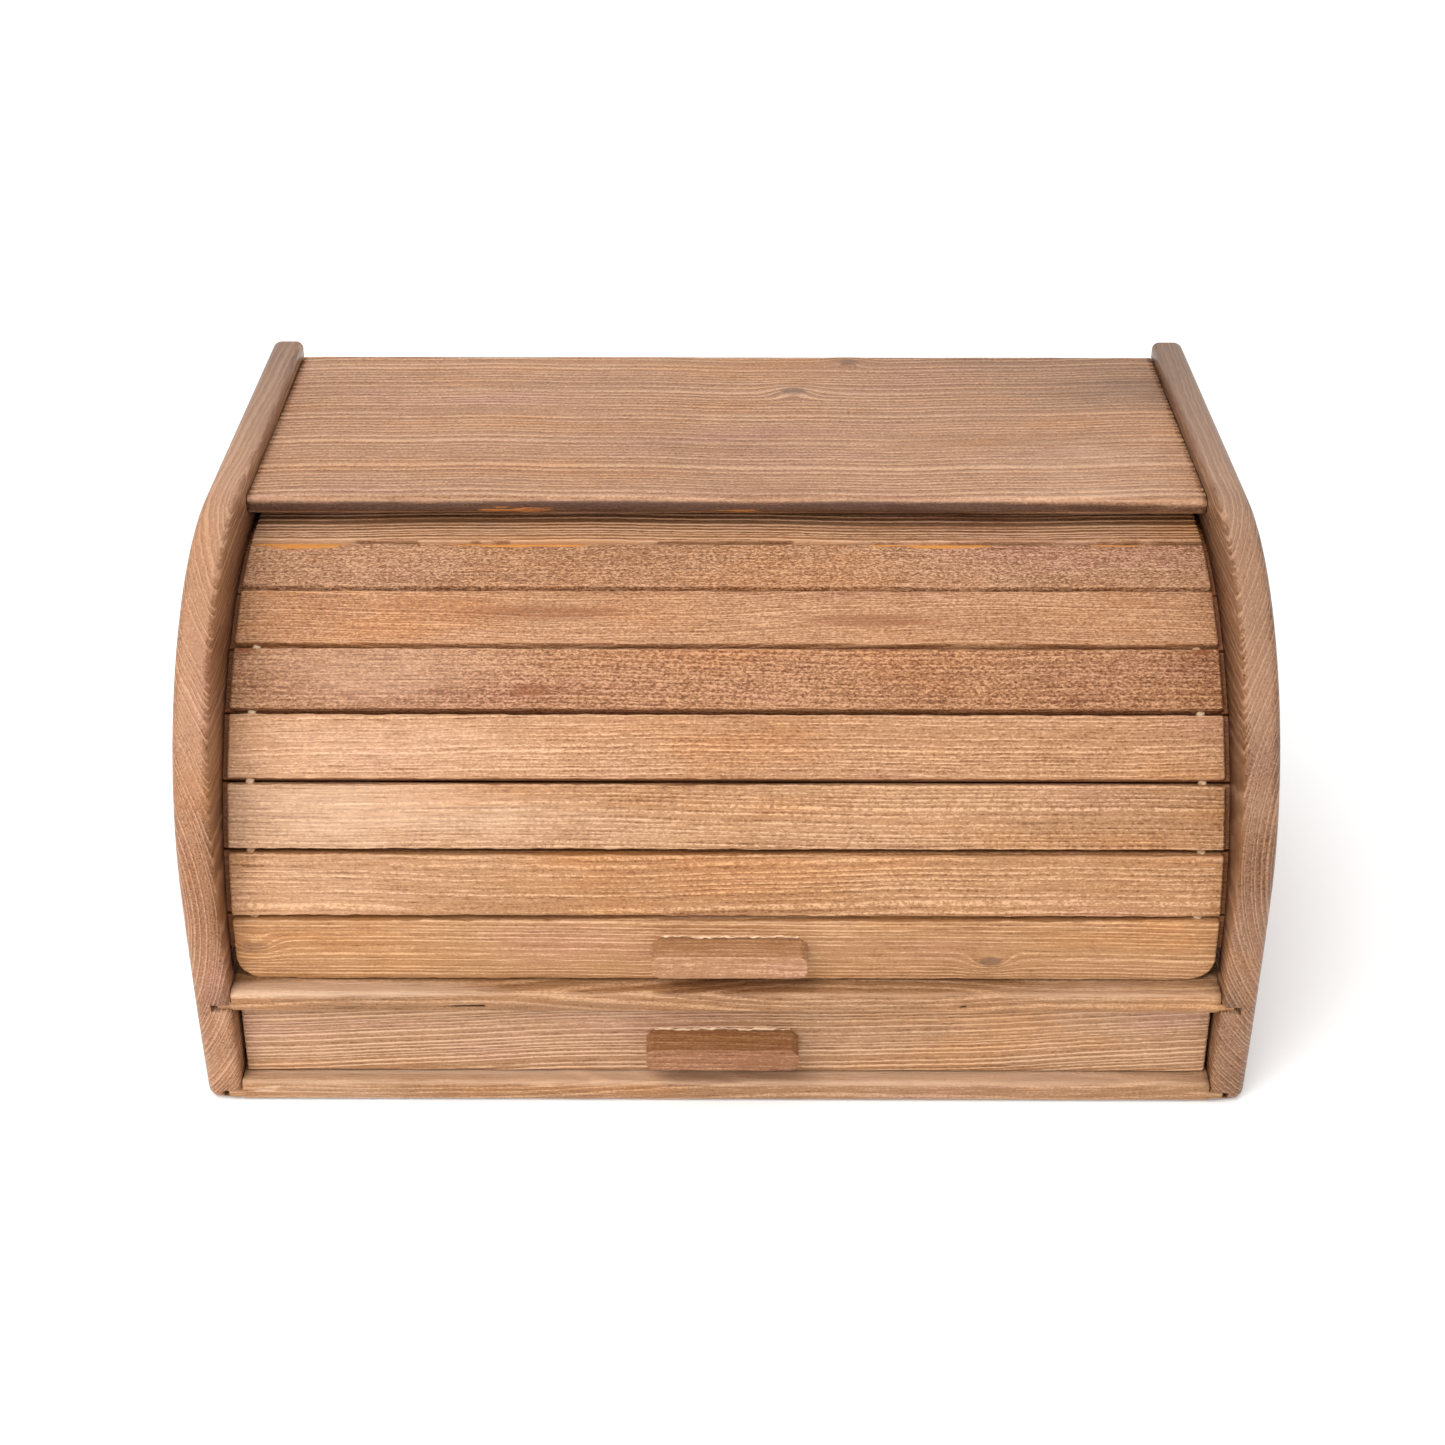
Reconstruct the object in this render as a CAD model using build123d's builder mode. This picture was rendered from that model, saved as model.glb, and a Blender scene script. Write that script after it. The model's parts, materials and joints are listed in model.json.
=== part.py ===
from build123d import *
import os
from math import cos, radians, sin, sqrt

# Wooden bread box with a roll-top lid over the bread and a pull-out drawer under it.
# Millimetres. X runs left to right, Y from the front (-) to the back (+), Z up. The
# origin is the middle of the base of the whole box, handles included.

os.makedirs("parts", exist_ok=True)

# ---------------------------------------------------------------- driving dimensions
WIDTH = 400.0             # over both side panels
SIDE_DEPTH = 272.0        # side panels, front to back
HEIGHT = 209.0            # side panels, base to top
HANDLE_PROUD = 1.5        # how far the drawer handle stands in front of the sides

# side panels
SIDE_T = 13.5
SHOULDER_R = 112.0        # big round from the front edge up to the straight top
FOOT_SETBACK = 5.0        # how far the front edge leans back at the base
FOOT_R = 6.0              # bottom front corner
OUTER_ROUND = 4.5         # rounding of the outline's outer edge
INNER_ROUND = 3.0         # rounding of the outline's inner edge

# boards between the sides
BOTTOM_Z, BOTTOM_T, BOTTOM_FRONT = 0.6, 9.0, 4.7       # front is measured back from the sides
SHELF_Z, SHELF_T, SHELF_FRONT = 43.5, 9.1, 3.2
TOP_Z, TOP_T, TOP_FRONT = 195.0, 7.0, 122.0
TONGUE_L, TONGUE_T = 5.2, 3.0                          # tongues on the board ends
DADO_DEPTH, DADO_H = 7.3, 3.2                          # their housings in the sides
TONGUE_LIFT = 1.6                                      # tongue above a board's underside
BACK_T, REBATE_W = 4.0, 6.0                            # thin back in its rebates

# roll top: flat slats on a circular track
TRACK_IN_Y, TRACK_Z = 136.0, 64.5    # track centre, back from the sides' front and up
SLAT_COUNT = 9
SLAT_PITCH = 12.09                   # degrees
LEAD_ANGLE = 1.315                   # lead slat's middle, degrees up from the front
SLAT_H, SLAT_T, SLAT_BEVEL = 24.5, 8.0, 0.8
LEAD_EXTRA = 1.9                     # extra height on the lead slat's lower edge
SLAT_FACE_R = 124.3                  # track centre to a slat's outer face
SHOULDER_GAP = 2.0                   # slat shoulder to side panel
SLAT_TONGUE_T, SLAT_TONGUE_IN = 4.0, 5.0
GROOVE_DEPTH, GROOVE_CLEARANCE = 6.0, 0.5
LEAD_CORNER_R = 10.0
LEAD_TONGUE_FROM = -2.0              # the lead slat's tongues start here
CORD_R, CORD_HOLE_R, CORD_INSET = 1.75, 2.1, 8.0
CORD_BLIND = 18.0                    # depth of the glued cord hole in the lead slat
KNOT_R, KNOT_SINK = 2.8, 1.3

# handles
HANDLE_W, HANDLE_H, HANDLE_D = 58.0, 9.8, 13.0
HANDLE_CORNER, HANDLE_ROUND = 2.4, 1.2
LID_HANDLE_X, DRAWER_HANDLE_X = 1.5, -1.2
DRAWER_HANDLE_Z = 24.9
SCREW_SPACING, SCREW_R, SCREW_HEAD_R = 32.0, 1.5, 3.0
SCREW_HEAD_H, SCREW_BITE = 1.8, 8.0

# drawer
DRAWER_GAP = 1.5          # each side of the drawer
DRAWER_FLOAT = 0.4        # over the bottom board
DRAWER_FRONT_T, DRAWER_FRONT_H = 12.0, 32.6
DRAWER_SIDE_T, DRAWER_SIDE_H = 8.0, 26.0
DRAWER_LIP = 6.0          # front board left in front of the drawer sides
PLY_T, PLY_GROOVE, PLY_Z, PLY_IN = 3.0, 3.1, 4.0, 3.5

# nails
NAIL_R, NAIL_HEAD_R, NAIL_HEAD_T = 0.75, 1.4, 0.8

# ---------------------------------------------------------------- worked-out places
HALF_IN = WIDTH / 2 - SIDE_T
FRONT = HANDLE_PROUD - (SIDE_DEPTH + HANDLE_PROUD) / 2
BACK = FRONT + SIDE_DEPTH
BACK_IN = BACK - BACK_T
SHELF_TOP = SHELF_Z + SHELF_T
BOTTOM_TOP = BOTTOM_Z + BOTTOM_T
TRACK_Y = FRONT + TRACK_IN_Y
SLAT_L = 2 * (HALF_IN - SHOULDER_GAP)
CORD_X = SLAT_L / 2 - CORD_INSET
CORD_PLANE_R = SLAT_FACE_R - SLAT_T / 2
DRAWER_FACE = FRONT - HANDLE_PROUD + HANDLE_D
DRAWER_HALF = HALF_IN - DRAWER_GAP
DRAWER_Z = BOTTOM_TOP + DRAWER_FLOAT
DRAWER_END = BACK_IN - 0.5
SLAT_NAMES = ["lead_slat"] + [f"slat_{number}" for number in range(2, SLAT_COUNT + 1)]


def save(builder, name):
    """Label a finished piece and write it as parts/name.step."""
    builder.part.label = name
    export_step(builder.part, f"parts/{name}.step")


def slab(x0, x1, y0, y1, z0, z1, mode=Mode.ADD):
    """A box between two corners, in the current builder."""
    with Locations(((x0 + x1) / 2, (y0 + y1) / 2, (z0 + z1) / 2)):
        Box(x1 - x0, y1 - y0, z1 - z0, mode=mode)


def track_plane(angle, radius, along_slat=False):
    """Plane on the roll top at an angle up from the front.

    Its local X is the box's X. Its normal points out of the roll top, or along the
    track, towards the top, when along_slat is set.
    """
    outward = Vector(0, -cos(radians(angle)), sin(radians(angle)))
    along = Vector(0, sin(radians(angle)), cos(radians(angle)))
    origin = Vector(0, TRACK_Y, TRACK_Z) + outward * radius
    return Plane(origin=origin, x_dir=(1, 0, 0), z_dir=along if along_slat else outward)


def slat_angle(index):
    """Angle of a slat's middle, the lead slat being 0."""
    return LEAD_ANGLE + SLAT_PITCH * index


# ---------------------------------------------------------------- side panels
for name, out in (("side_panel_left", -1), ("side_panel_right", 1)):
    inner_face = Plane.YZ.offset(out * HALF_IN)
    track_face = Plane(origin=(out * HALF_IN, TRACK_Y, TRACK_Z), x_dir=(0, 1, 0), z_dir=(1, 0, 0))
    with BuildPart() as side_panel:
        with BuildSketch(inner_face):
            with BuildLine():
                top = Line((BACK, HEIGHT), (FRONT + SHOULDER_R, HEIGHT))
                shoulder = TangentArc(top @ 1, (FRONT, HEIGHT - SHOULDER_R), tangent=(-1, 0))
                foot = TangentArc(shoulder @ 1, (FRONT + FOOT_SETBACK, 0), tangent=(0, -1))
                Polyline(foot @ 1, (BACK, 0), top @ 0)
            outline = make_face()
            fillet(outline.vertices().group_by(Axis.Y)[0].sort_by(Axis.X)[0], radius=FOOT_R)
        extrude(amount=out * SIDE_T)
        for x, round_r in ((out * WIDTH / 2, OUTER_ROUND), (out * HALF_IN, INNER_ROUND)):
            rim = side_panel.edges().filter_by_position(Axis.X, x - 0.01, x + 0.01)
            rim = rim.filter_by(lambda e: e.center().Z > 0.1 and e.center().Y < BACK - 0.1)
            fillet(rim, radius=round_r)
        # circular groove for the slat tongues, down to the shelf at front and back
        with BuildSketch(track_face):
            Circle(sqrt((SLAT_FACE_R - SLAT_T + SLAT_TONGUE_T) ** 2 + (SLAT_H / 2) ** 2) + GROOVE_CLEARANCE)
            Circle(SLAT_FACE_R - SLAT_T - GROOVE_CLEARANCE, mode=Mode.SUBTRACT)
            with Locations((0, SHELF_TOP - TRACK_Z)):
                Rectangle(SIDE_DEPTH, HEIGHT, align=(Align.CENTER, Align.MIN), mode=Mode.INTERSECT)
        extrude(amount=out * GROOVE_DEPTH, mode=Mode.SUBTRACT)
        # housings for the board tongues, open at the front except under the top board
        x0, x1 = sorted((out * HALF_IN, out * (HALF_IN + DADO_DEPTH)))
        for board_z, y0 in ((BOTTOM_Z, FRONT - 1), (SHELF_Z, FRONT - 1), (TOP_Z, FRONT + TOP_FRONT + 8)):
            dado_z = board_z + TONGUE_LIFT - (DADO_H - TONGUE_T) / 2
            slab(x0, x1, y0, BACK, dado_z, dado_z + DADO_H, Mode.SUBTRACT)
        # rebate for the thin back
        x0, x1 = sorted((out * HALF_IN, out * (HALF_IN + REBATE_W)))
        slab(x0, x1, BACK_IN, BACK, 0, TOP_Z, Mode.SUBTRACT)
    save(side_panel, name)

# ---------------------------------------------------------------- boards of the case
BOARDS = {
    # name: underside, thickness, front, back, front of the tongues, front edge rounding
    "bottom_board": (BOTTOM_Z, BOTTOM_T, FRONT + BOTTOM_FRONT, BACK_IN, 0.0, 2.5),
    "shelf_board": (SHELF_Z, SHELF_T, FRONT + SHELF_FRONT, BACK_IN, 0.0, 2.5),
    "top_board": (TOP_Z, TOP_T, FRONT + TOP_FRONT, BACK, 8.5, 2.6),
}
for name, (low, thick, front, back, tongue_in, nosing) in BOARDS.items():
    with BuildPart() as board:
        slab(-HALF_IN, HALF_IN, front, back, low, low + thick)
        nose = board.edges().filter_by(Axis.X).group_by(Axis.Y)[0]
        fillet(nose, radius=nosing)
        reach = HALF_IN + TONGUE_L
        slab(-reach, reach, front + tongue_in, back, low + TONGUE_LIFT, low + TONGUE_LIFT + TONGUE_T)
    save(board, name)

with BuildPart() as back_panel:
    edge = HALF_IN + REBATE_W - 0.2
    slab(-edge, edge, BACK_IN, BACK, BOTTOM_Z, TOP_Z)
save(back_panel, "back_panel")

# ---------------------------------------------------------------- roll top slats
for index, name in enumerate(SLAT_NAMES):
    angle = slat_angle(index)
    lead, trailing = index == 0, index == SLAT_COUNT - 1
    face = track_plane(angle, SLAT_FACE_R)
    low = -SLAT_H / 2 - (LEAD_EXTRA if lead else 0)
    tongue_low = LEAD_TONGUE_FROM if lead else low
    with BuildPart() as slat:
        with BuildSketch(face):
            with Locations((0, low)):
                Rectangle(SLAT_L, SLAT_H / 2 - low, align=(Align.CENTER, Align.MIN))
            if lead:
                corners = vertices().group_by(Axis.Y)[0]
                fillet(corners, radius=LEAD_CORNER_R)
        extrude(amount=-SLAT_T)
        chamfer(slat.faces().sort_by(Axis(face.origin, face.z_dir))[-1].edges(), length=SLAT_BEVEL)
        with BuildSketch(face.offset(SLAT_TONGUE_T - SLAT_T)):
            with Locations((0, tongue_low)):
                Rectangle(2 * (HALF_IN + SLAT_TONGUE_IN), SLAT_H / 2 - tongue_low,
                          align=(Align.CENTER, Align.MIN))
        extrude(amount=-SLAT_TONGUE_T)
        # holes for the two cords, along the slat's width at half thickness
        top_edge = track_plane(angle, CORD_PLANE_R, along_slat=True).offset(SLAT_H / 2)
        with BuildSketch(top_edge):
            with Locations((-CORD_X, 0), (CORD_X, 0)):
                Circle(CORD_HOLE_R)
        extrude(amount=-CORD_BLIND if lead else -SLAT_H, mode=Mode.SUBTRACT)
        if trailing:
            with Locations(top_edge.offset(-KNOT_SINK)):
                with Locations((-CORD_X, 0), (CORD_X, 0)):
                    Sphere(KNOT_R + 0.3, mode=Mode.SUBTRACT)
        if lead:
            with Locations(Plane(face.offset(-SLAT_T).origin, x_dir=(1, 0, 0), z_dir=-face.z_dir)):
                with Locations((LID_HANDLE_X - SCREW_SPACING / 2, 0), (LID_HANDLE_X + SCREW_SPACING / 2, 0)):
                    CounterSinkHole(SCREW_R + 0.1, SCREW_HEAD_R + 0.1)
    save(slat, name)

# ---------------------------------------------------------------- cords through the slats
cord_turn_r = CORD_PLANE_R / cos(radians(SLAT_PITCH / 2))
for name, side in (("cord_left", -1), ("cord_right", 1)):
    start = track_plane(slat_angle(0), CORD_PLANE_R, along_slat=True).offset(SLAT_H / 2 - CORD_BLIND + 0.5)
    finish = track_plane(slat_angle(SLAT_COUNT - 1), CORD_PLANE_R, along_slat=True).offset(SLAT_H / 2 - KNOT_SINK)
    turns = [track_plane(slat_angle(index) + SLAT_PITCH / 2, cord_turn_r) for index in range(SLAT_COUNT - 1)]
    route = [plane.origin + Vector(side * CORD_X, 0, 0) for plane in [start, *turns, finish]]
    with BuildPart() as cord:
        with BuildLine() as path:
            FilletPolyline(*route, radius=4)
        with BuildSketch(Plane(origin=route[0], x_dir=(1, 0, 0), z_dir=start.z_dir)):
            Circle(CORD_R)
        sweep()
        with Locations(route[-1]):
            Sphere(KNOT_R)
    save(cord, name)

# ---------------------------------------------------------------- handles and their screws
HANDLES = {
    # name: face it is fixed to, middle of the handle along X, thickness of the wood behind
    "lid_handle": (track_plane(slat_angle(0), SLAT_FACE_R), LID_HANDLE_X, SLAT_T),
    "drawer_handle": (Plane(origin=(0, DRAWER_FACE, DRAWER_HANDLE_Z), x_dir=(1, 0, 0), z_dir=(0, -1, 0)),
                      DRAWER_HANDLE_X, DRAWER_FRONT_T),
}
for name, (face, middle, wood_t) in HANDLES.items():
    behind = Plane(face.origin, x_dir=(1, 0, 0), z_dir=-face.z_dir)
    spots = [(middle - SCREW_SPACING / 2, 0), (middle + SCREW_SPACING / 2, 0)]
    with BuildPart() as handle:
        with BuildSketch(face):
            with Locations((middle, 0)):
                bar = Rectangle(HANDLE_W, HANDLE_H)
            chamfer(bar.vertices(), length=HANDLE_CORNER)
        extrude(amount=HANDLE_D)
        fillet(handle.faces().sort_by(Axis(face.origin, face.z_dir))[-1].edges(), radius=HANDLE_ROUND)
        with Locations(behind):
            with Locations(*spots):
                Hole(SCREW_R, depth=SCREW_BITE + 1)
    save(handle, name)

    with BuildPart() as screws:
        with Locations(behind.offset(wood_t)):
            with Locations(*spots):
                Cone(SCREW_R, SCREW_HEAD_R, SCREW_HEAD_H, align=(Align.CENTER, Align.CENTER, Align.MAX))
                Cylinder(SCREW_R, wood_t + SCREW_BITE, align=(Align.CENTER, Align.CENTER, Align.MAX))
                Box(3.4, 0.8, 1.0, align=(Align.CENTER, Align.CENTER, Align.MAX), mode=Mode.SUBTRACT)
                Box(0.8, 3.4, 1.0, align=(Align.CENTER, Align.CENTER, Align.MAX), mode=Mode.SUBTRACT)
    save(screws, f"{name}_screws")

# ---------------------------------------------------------------- drawer
ply_low = DRAWER_Z + PLY_Z
with BuildPart() as drawer_front:
    slab(-DRAWER_HALF, DRAWER_HALF, DRAWER_FACE, DRAWER_FACE + DRAWER_FRONT_T, DRAWER_Z, DRAWER_Z + DRAWER_FRONT_H)
    chamfer(drawer_front.faces().sort_by(Axis.Y)[0].edges(), length=0.8)
    for x0, x1 in ((-DRAWER_HALF, DRAWER_SIDE_T - DRAWER_HALF), (DRAWER_HALF - DRAWER_SIDE_T, DRAWER_HALF)):
        slab(x0, x1, DRAWER_FACE + DRAWER_LIP, DRAWER_FACE + DRAWER_FRONT_T,
             DRAWER_Z, DRAWER_Z + DRAWER_SIDE_H, Mode.SUBTRACT)
    slab(DRAWER_SIDE_T - DRAWER_HALF, DRAWER_HALF - DRAWER_SIDE_T,
         DRAWER_FACE + DRAWER_FRONT_T - PLY_IN - 0.5, DRAWER_FACE + DRAWER_FRONT_T,
         ply_low, ply_low + PLY_GROOVE, Mode.SUBTRACT)
    with Locations(Plane(origin=(DRAWER_HANDLE_X, DRAWER_FACE + DRAWER_FRONT_T, DRAWER_HANDLE_Z),
                         x_dir=(1, 0, 0), z_dir=(0, 1, 0))):
        with Locations((-SCREW_SPACING / 2, 0), (SCREW_SPACING / 2, 0)):
            CounterSinkHole(SCREW_R + 0.1, SCREW_HEAD_R + 0.1)
save(drawer_front, "drawer_front")

for name, out in (("drawer_side_left", -1), ("drawer_side_right", 1)):
    x0, x1 = sorted((out * DRAWER_HALF, out * (DRAWER_HALF - DRAWER_SIDE_T)))
    groove = sorted((out * (DRAWER_HALF - DRAWER_SIDE_T), out * (DRAWER_HALF - DRAWER_SIDE_T + PLY_IN + 0.5)))
    with BuildPart() as drawer_side:
        slab(x0, x1, DRAWER_FACE + DRAWER_LIP, DRAWER_END, DRAWER_Z, DRAWER_Z + DRAWER_SIDE_H)
        slab(*groove, DRAWER_FACE + DRAWER_LIP, DRAWER_END, ply_low, ply_low + PLY_GROOVE, Mode.SUBTRACT)
    save(drawer_side, name)

with BuildPart() as drawer_back:
    slab(DRAWER_SIDE_T - DRAWER_HALF, DRAWER_HALF - DRAWER_SIDE_T, DRAWER_END - DRAWER_SIDE_T, DRAWER_END,
         ply_low + PLY_GROOVE, DRAWER_Z + DRAWER_SIDE_H)
save(drawer_back, "drawer_back")

with BuildPart() as drawer_bottom:
    edge = DRAWER_HALF - DRAWER_SIDE_T + PLY_IN
    slab(-edge, edge, DRAWER_FACE + DRAWER_FRONT_T - PLY_IN, DRAWER_END, ply_low + 0.05, ply_low + 0.05 + PLY_T)
save(drawer_bottom, "drawer_bottom")


# ---------------------------------------------------------------- nails
def nails(name, length, spots):
    """One node of equal nails; each spot is the head's middle and the way it points out."""
    with BuildPart() as group:
        for point, outward in spots:
            with Locations(Plane(origin=point, z_dir=outward)):
                Cylinder(NAIL_HEAD_R, NAIL_HEAD_T, align=(Align.CENTER, Align.CENTER, Align.MAX))
                Cylinder(NAIL_R, length, align=(Align.CENTER, Align.CENTER, Align.MAX))
    save(group, name)


bottom_mid = BOTTOM_Z + TONGUE_LIFT + TONGUE_T / 2
shelf_mid = SHELF_Z + TONGUE_LIFT + TONGUE_T / 2
top_mid = TOP_Z + TONGUE_LIFT + TONGUE_T / 2
for name, out in (("side_nails_left", -1), ("side_nails_right", 1)):
    rows = [(y, z) for z in (bottom_mid, shelf_mid) for y in (-95.0, 5.0, 105.0)]
    rows += [(30.0, top_mid), (110.0, top_mid)]
    nails(name, 28.0, [((out * WIDTH / 2, y, z), (out, 0, 0)) for y, z in rows])

back_spots = [(x, z) for z in (bottom_mid, shelf_mid) for x in (-125.0, 0.0, 125.0)]
back_spots += [(x, z) for x in (-HALF_IN - 3, HALF_IN + 3) for z in (85.0, 130.0, 175.0)]
nails("back_panel_nails", 12.0, [((x, BACK, z), (0, 1, 0)) for x, z in back_spots])

drawer_spots = []
for out in (-1, 1):
    for y, heights in ((DRAWER_FACE + DRAWER_FRONT_T - 3, (10.0, 20.0)), (DRAWER_END - 4, (12.0, 21.0))):
        drawer_spots += [((out * DRAWER_HALF, y, DRAWER_Z + height), (out, 0, 0)) for height in heights]
drawer_spots += [((x, DRAWER_END - 4, ply_low + 0.05), (0, 0, -1)) for x in (-120.0, 0.0, 120.0)]
nails("drawer_nails", 16.0, drawer_spots)
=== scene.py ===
"""Bread box with a roll top and a drawer: its visible pieces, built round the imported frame.

Every wooden board is a closed numpy surface with worn edges and brushed relief. One formula gives
the growth rings: numpy reads it for the relief and the shader reads it for the colour, so that the
raised lines and the pale lines are the same lines. Metres throughout; X to the right, Y to the
back, Z up.
"""

import json
import logging
import math
from dataclasses import dataclass, field, replace
from enum import Enum
from typing import Any, Callable, Sequence

import bmesh
import bpy
import numpy as np
from mathutils import Matrix, Vector


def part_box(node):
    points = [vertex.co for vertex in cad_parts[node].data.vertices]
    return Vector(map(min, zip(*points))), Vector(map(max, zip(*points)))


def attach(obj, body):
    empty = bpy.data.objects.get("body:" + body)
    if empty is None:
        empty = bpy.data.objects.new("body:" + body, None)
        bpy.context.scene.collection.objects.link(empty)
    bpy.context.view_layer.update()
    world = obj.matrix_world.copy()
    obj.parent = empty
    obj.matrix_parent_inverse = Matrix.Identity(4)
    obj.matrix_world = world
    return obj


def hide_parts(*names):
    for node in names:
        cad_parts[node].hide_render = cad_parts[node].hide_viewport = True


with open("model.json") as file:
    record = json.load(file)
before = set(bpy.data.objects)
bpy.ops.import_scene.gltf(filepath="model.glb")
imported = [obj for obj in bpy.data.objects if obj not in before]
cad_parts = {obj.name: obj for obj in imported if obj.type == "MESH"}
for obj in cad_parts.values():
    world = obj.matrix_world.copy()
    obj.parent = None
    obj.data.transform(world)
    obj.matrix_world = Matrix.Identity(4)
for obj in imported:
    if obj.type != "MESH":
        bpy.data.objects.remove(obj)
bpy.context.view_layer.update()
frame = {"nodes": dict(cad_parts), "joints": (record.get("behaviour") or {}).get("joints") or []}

log = logging.getLogger("bread_box")

MM = 0.001
TAU = 2 * math.pi
Point = tuple[float, float, float]
Color = tuple[float, float, float]
Tone = tuple[int, int, int]
Move = Callable[[np.ndarray], np.ndarray]


def mm(*sizes: float) -> tuple[float, ...]:
    """Millimetres as metres."""
    return tuple(size * MM for size in sizes)


# ------------------------------------------------------------------------------- shader trees
class Term:
    """A number in a shader tree, which Python arithmetic extends with Math nodes."""

    def __init__(self, tree: bpy.types.NodeTree, socket: bpy.types.NodeSocket) -> None:
        """Keeps the tree and the output socket that the number comes from."""
        self.tree = tree
        self.socket = socket

    def combine(self, operation: str, *others: "Term | float") -> "Term":
        """Adds one Math node.

        Args:
            operation: the Math node's operation.
            others: its further inputs, after this term.

        Returns:
            The node's result.
        """
        node = self.tree.nodes.new("ShaderNodeMath")
        node.operation = operation
        for slot, value in zip(node.inputs, (self, *others)):
            if isinstance(value, Term):
                self.tree.links.new(value.socket, slot)
            else:
                slot.default_value = value
        return Term(self.tree, node.outputs[0])

    def __add__(self, other: "Term | float") -> "Term":
        """Sum."""
        return self.combine("ADD", other)

    __radd__ = __add__

    def __sub__(self, other: "Term | float") -> "Term":
        """Difference."""
        return self.combine("SUBTRACT", other)

    def __rsub__(self, other: float) -> "Term":
        """Difference from a plain number."""
        return self * -1.0 + other

    def __mul__(self, other: "Term | float") -> "Term":
        """Product."""
        return self.combine("MULTIPLY", other)

    __rmul__ = __mul__

    def __truediv__(self, other: "Term | float") -> "Term":
        """Quotient."""
        return self.combine("DIVIDE", other)


Number = Term | np.ndarray | float


def sine(value: Number) -> Number:
    """Sine of an array or of a shader term."""
    return value.combine("SINE") if isinstance(value, Term) else np.sin(value)


def root(value: Number) -> Number:
    """Square root of an array or of a shader term."""
    return value.combine("SQRT") if isinstance(value, Term) else np.sqrt(value)


def fade(value: Number) -> Number:
    """e to the power of minus the value, for an array or a shader term."""
    return (value * -1.0).combine("EXPONENT") if isinstance(value, Term) else np.exp(-value)


def part_of_turn(value: Number) -> Number:
    """What is left of a number above its whole part."""
    return value.combine("FRACT") if isinstance(value, Term) else value - np.floor(value)


def ease(value: Number, low: float, high: float) -> Number:
    """Smooth step of an array or a shader term: three times t squared less twice t cubed.

    Args:
        value: what is compared.
        low: where the step starts, and t is 0.
        high: where it ends, and t is 1.

    Returns:
        The step's height, from 0 to 1.
    """
    if isinstance(value, Term):
        node = value.tree.nodes.new("ShaderNodeMapRange")
        node.interpolation_type = "SMOOTHSTEP"
        value.tree.links.new(value.socket, node.inputs["Value"])
        node.inputs["From Min"].default_value = low
        node.inputs["From Max"].default_value = high
        return Term(value.tree, node.outputs["Result"])
    t = np.clip((value - low) / (high - low), 0.0, 1.0)
    return t * t * (3.0 - 2.0 * t)


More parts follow.
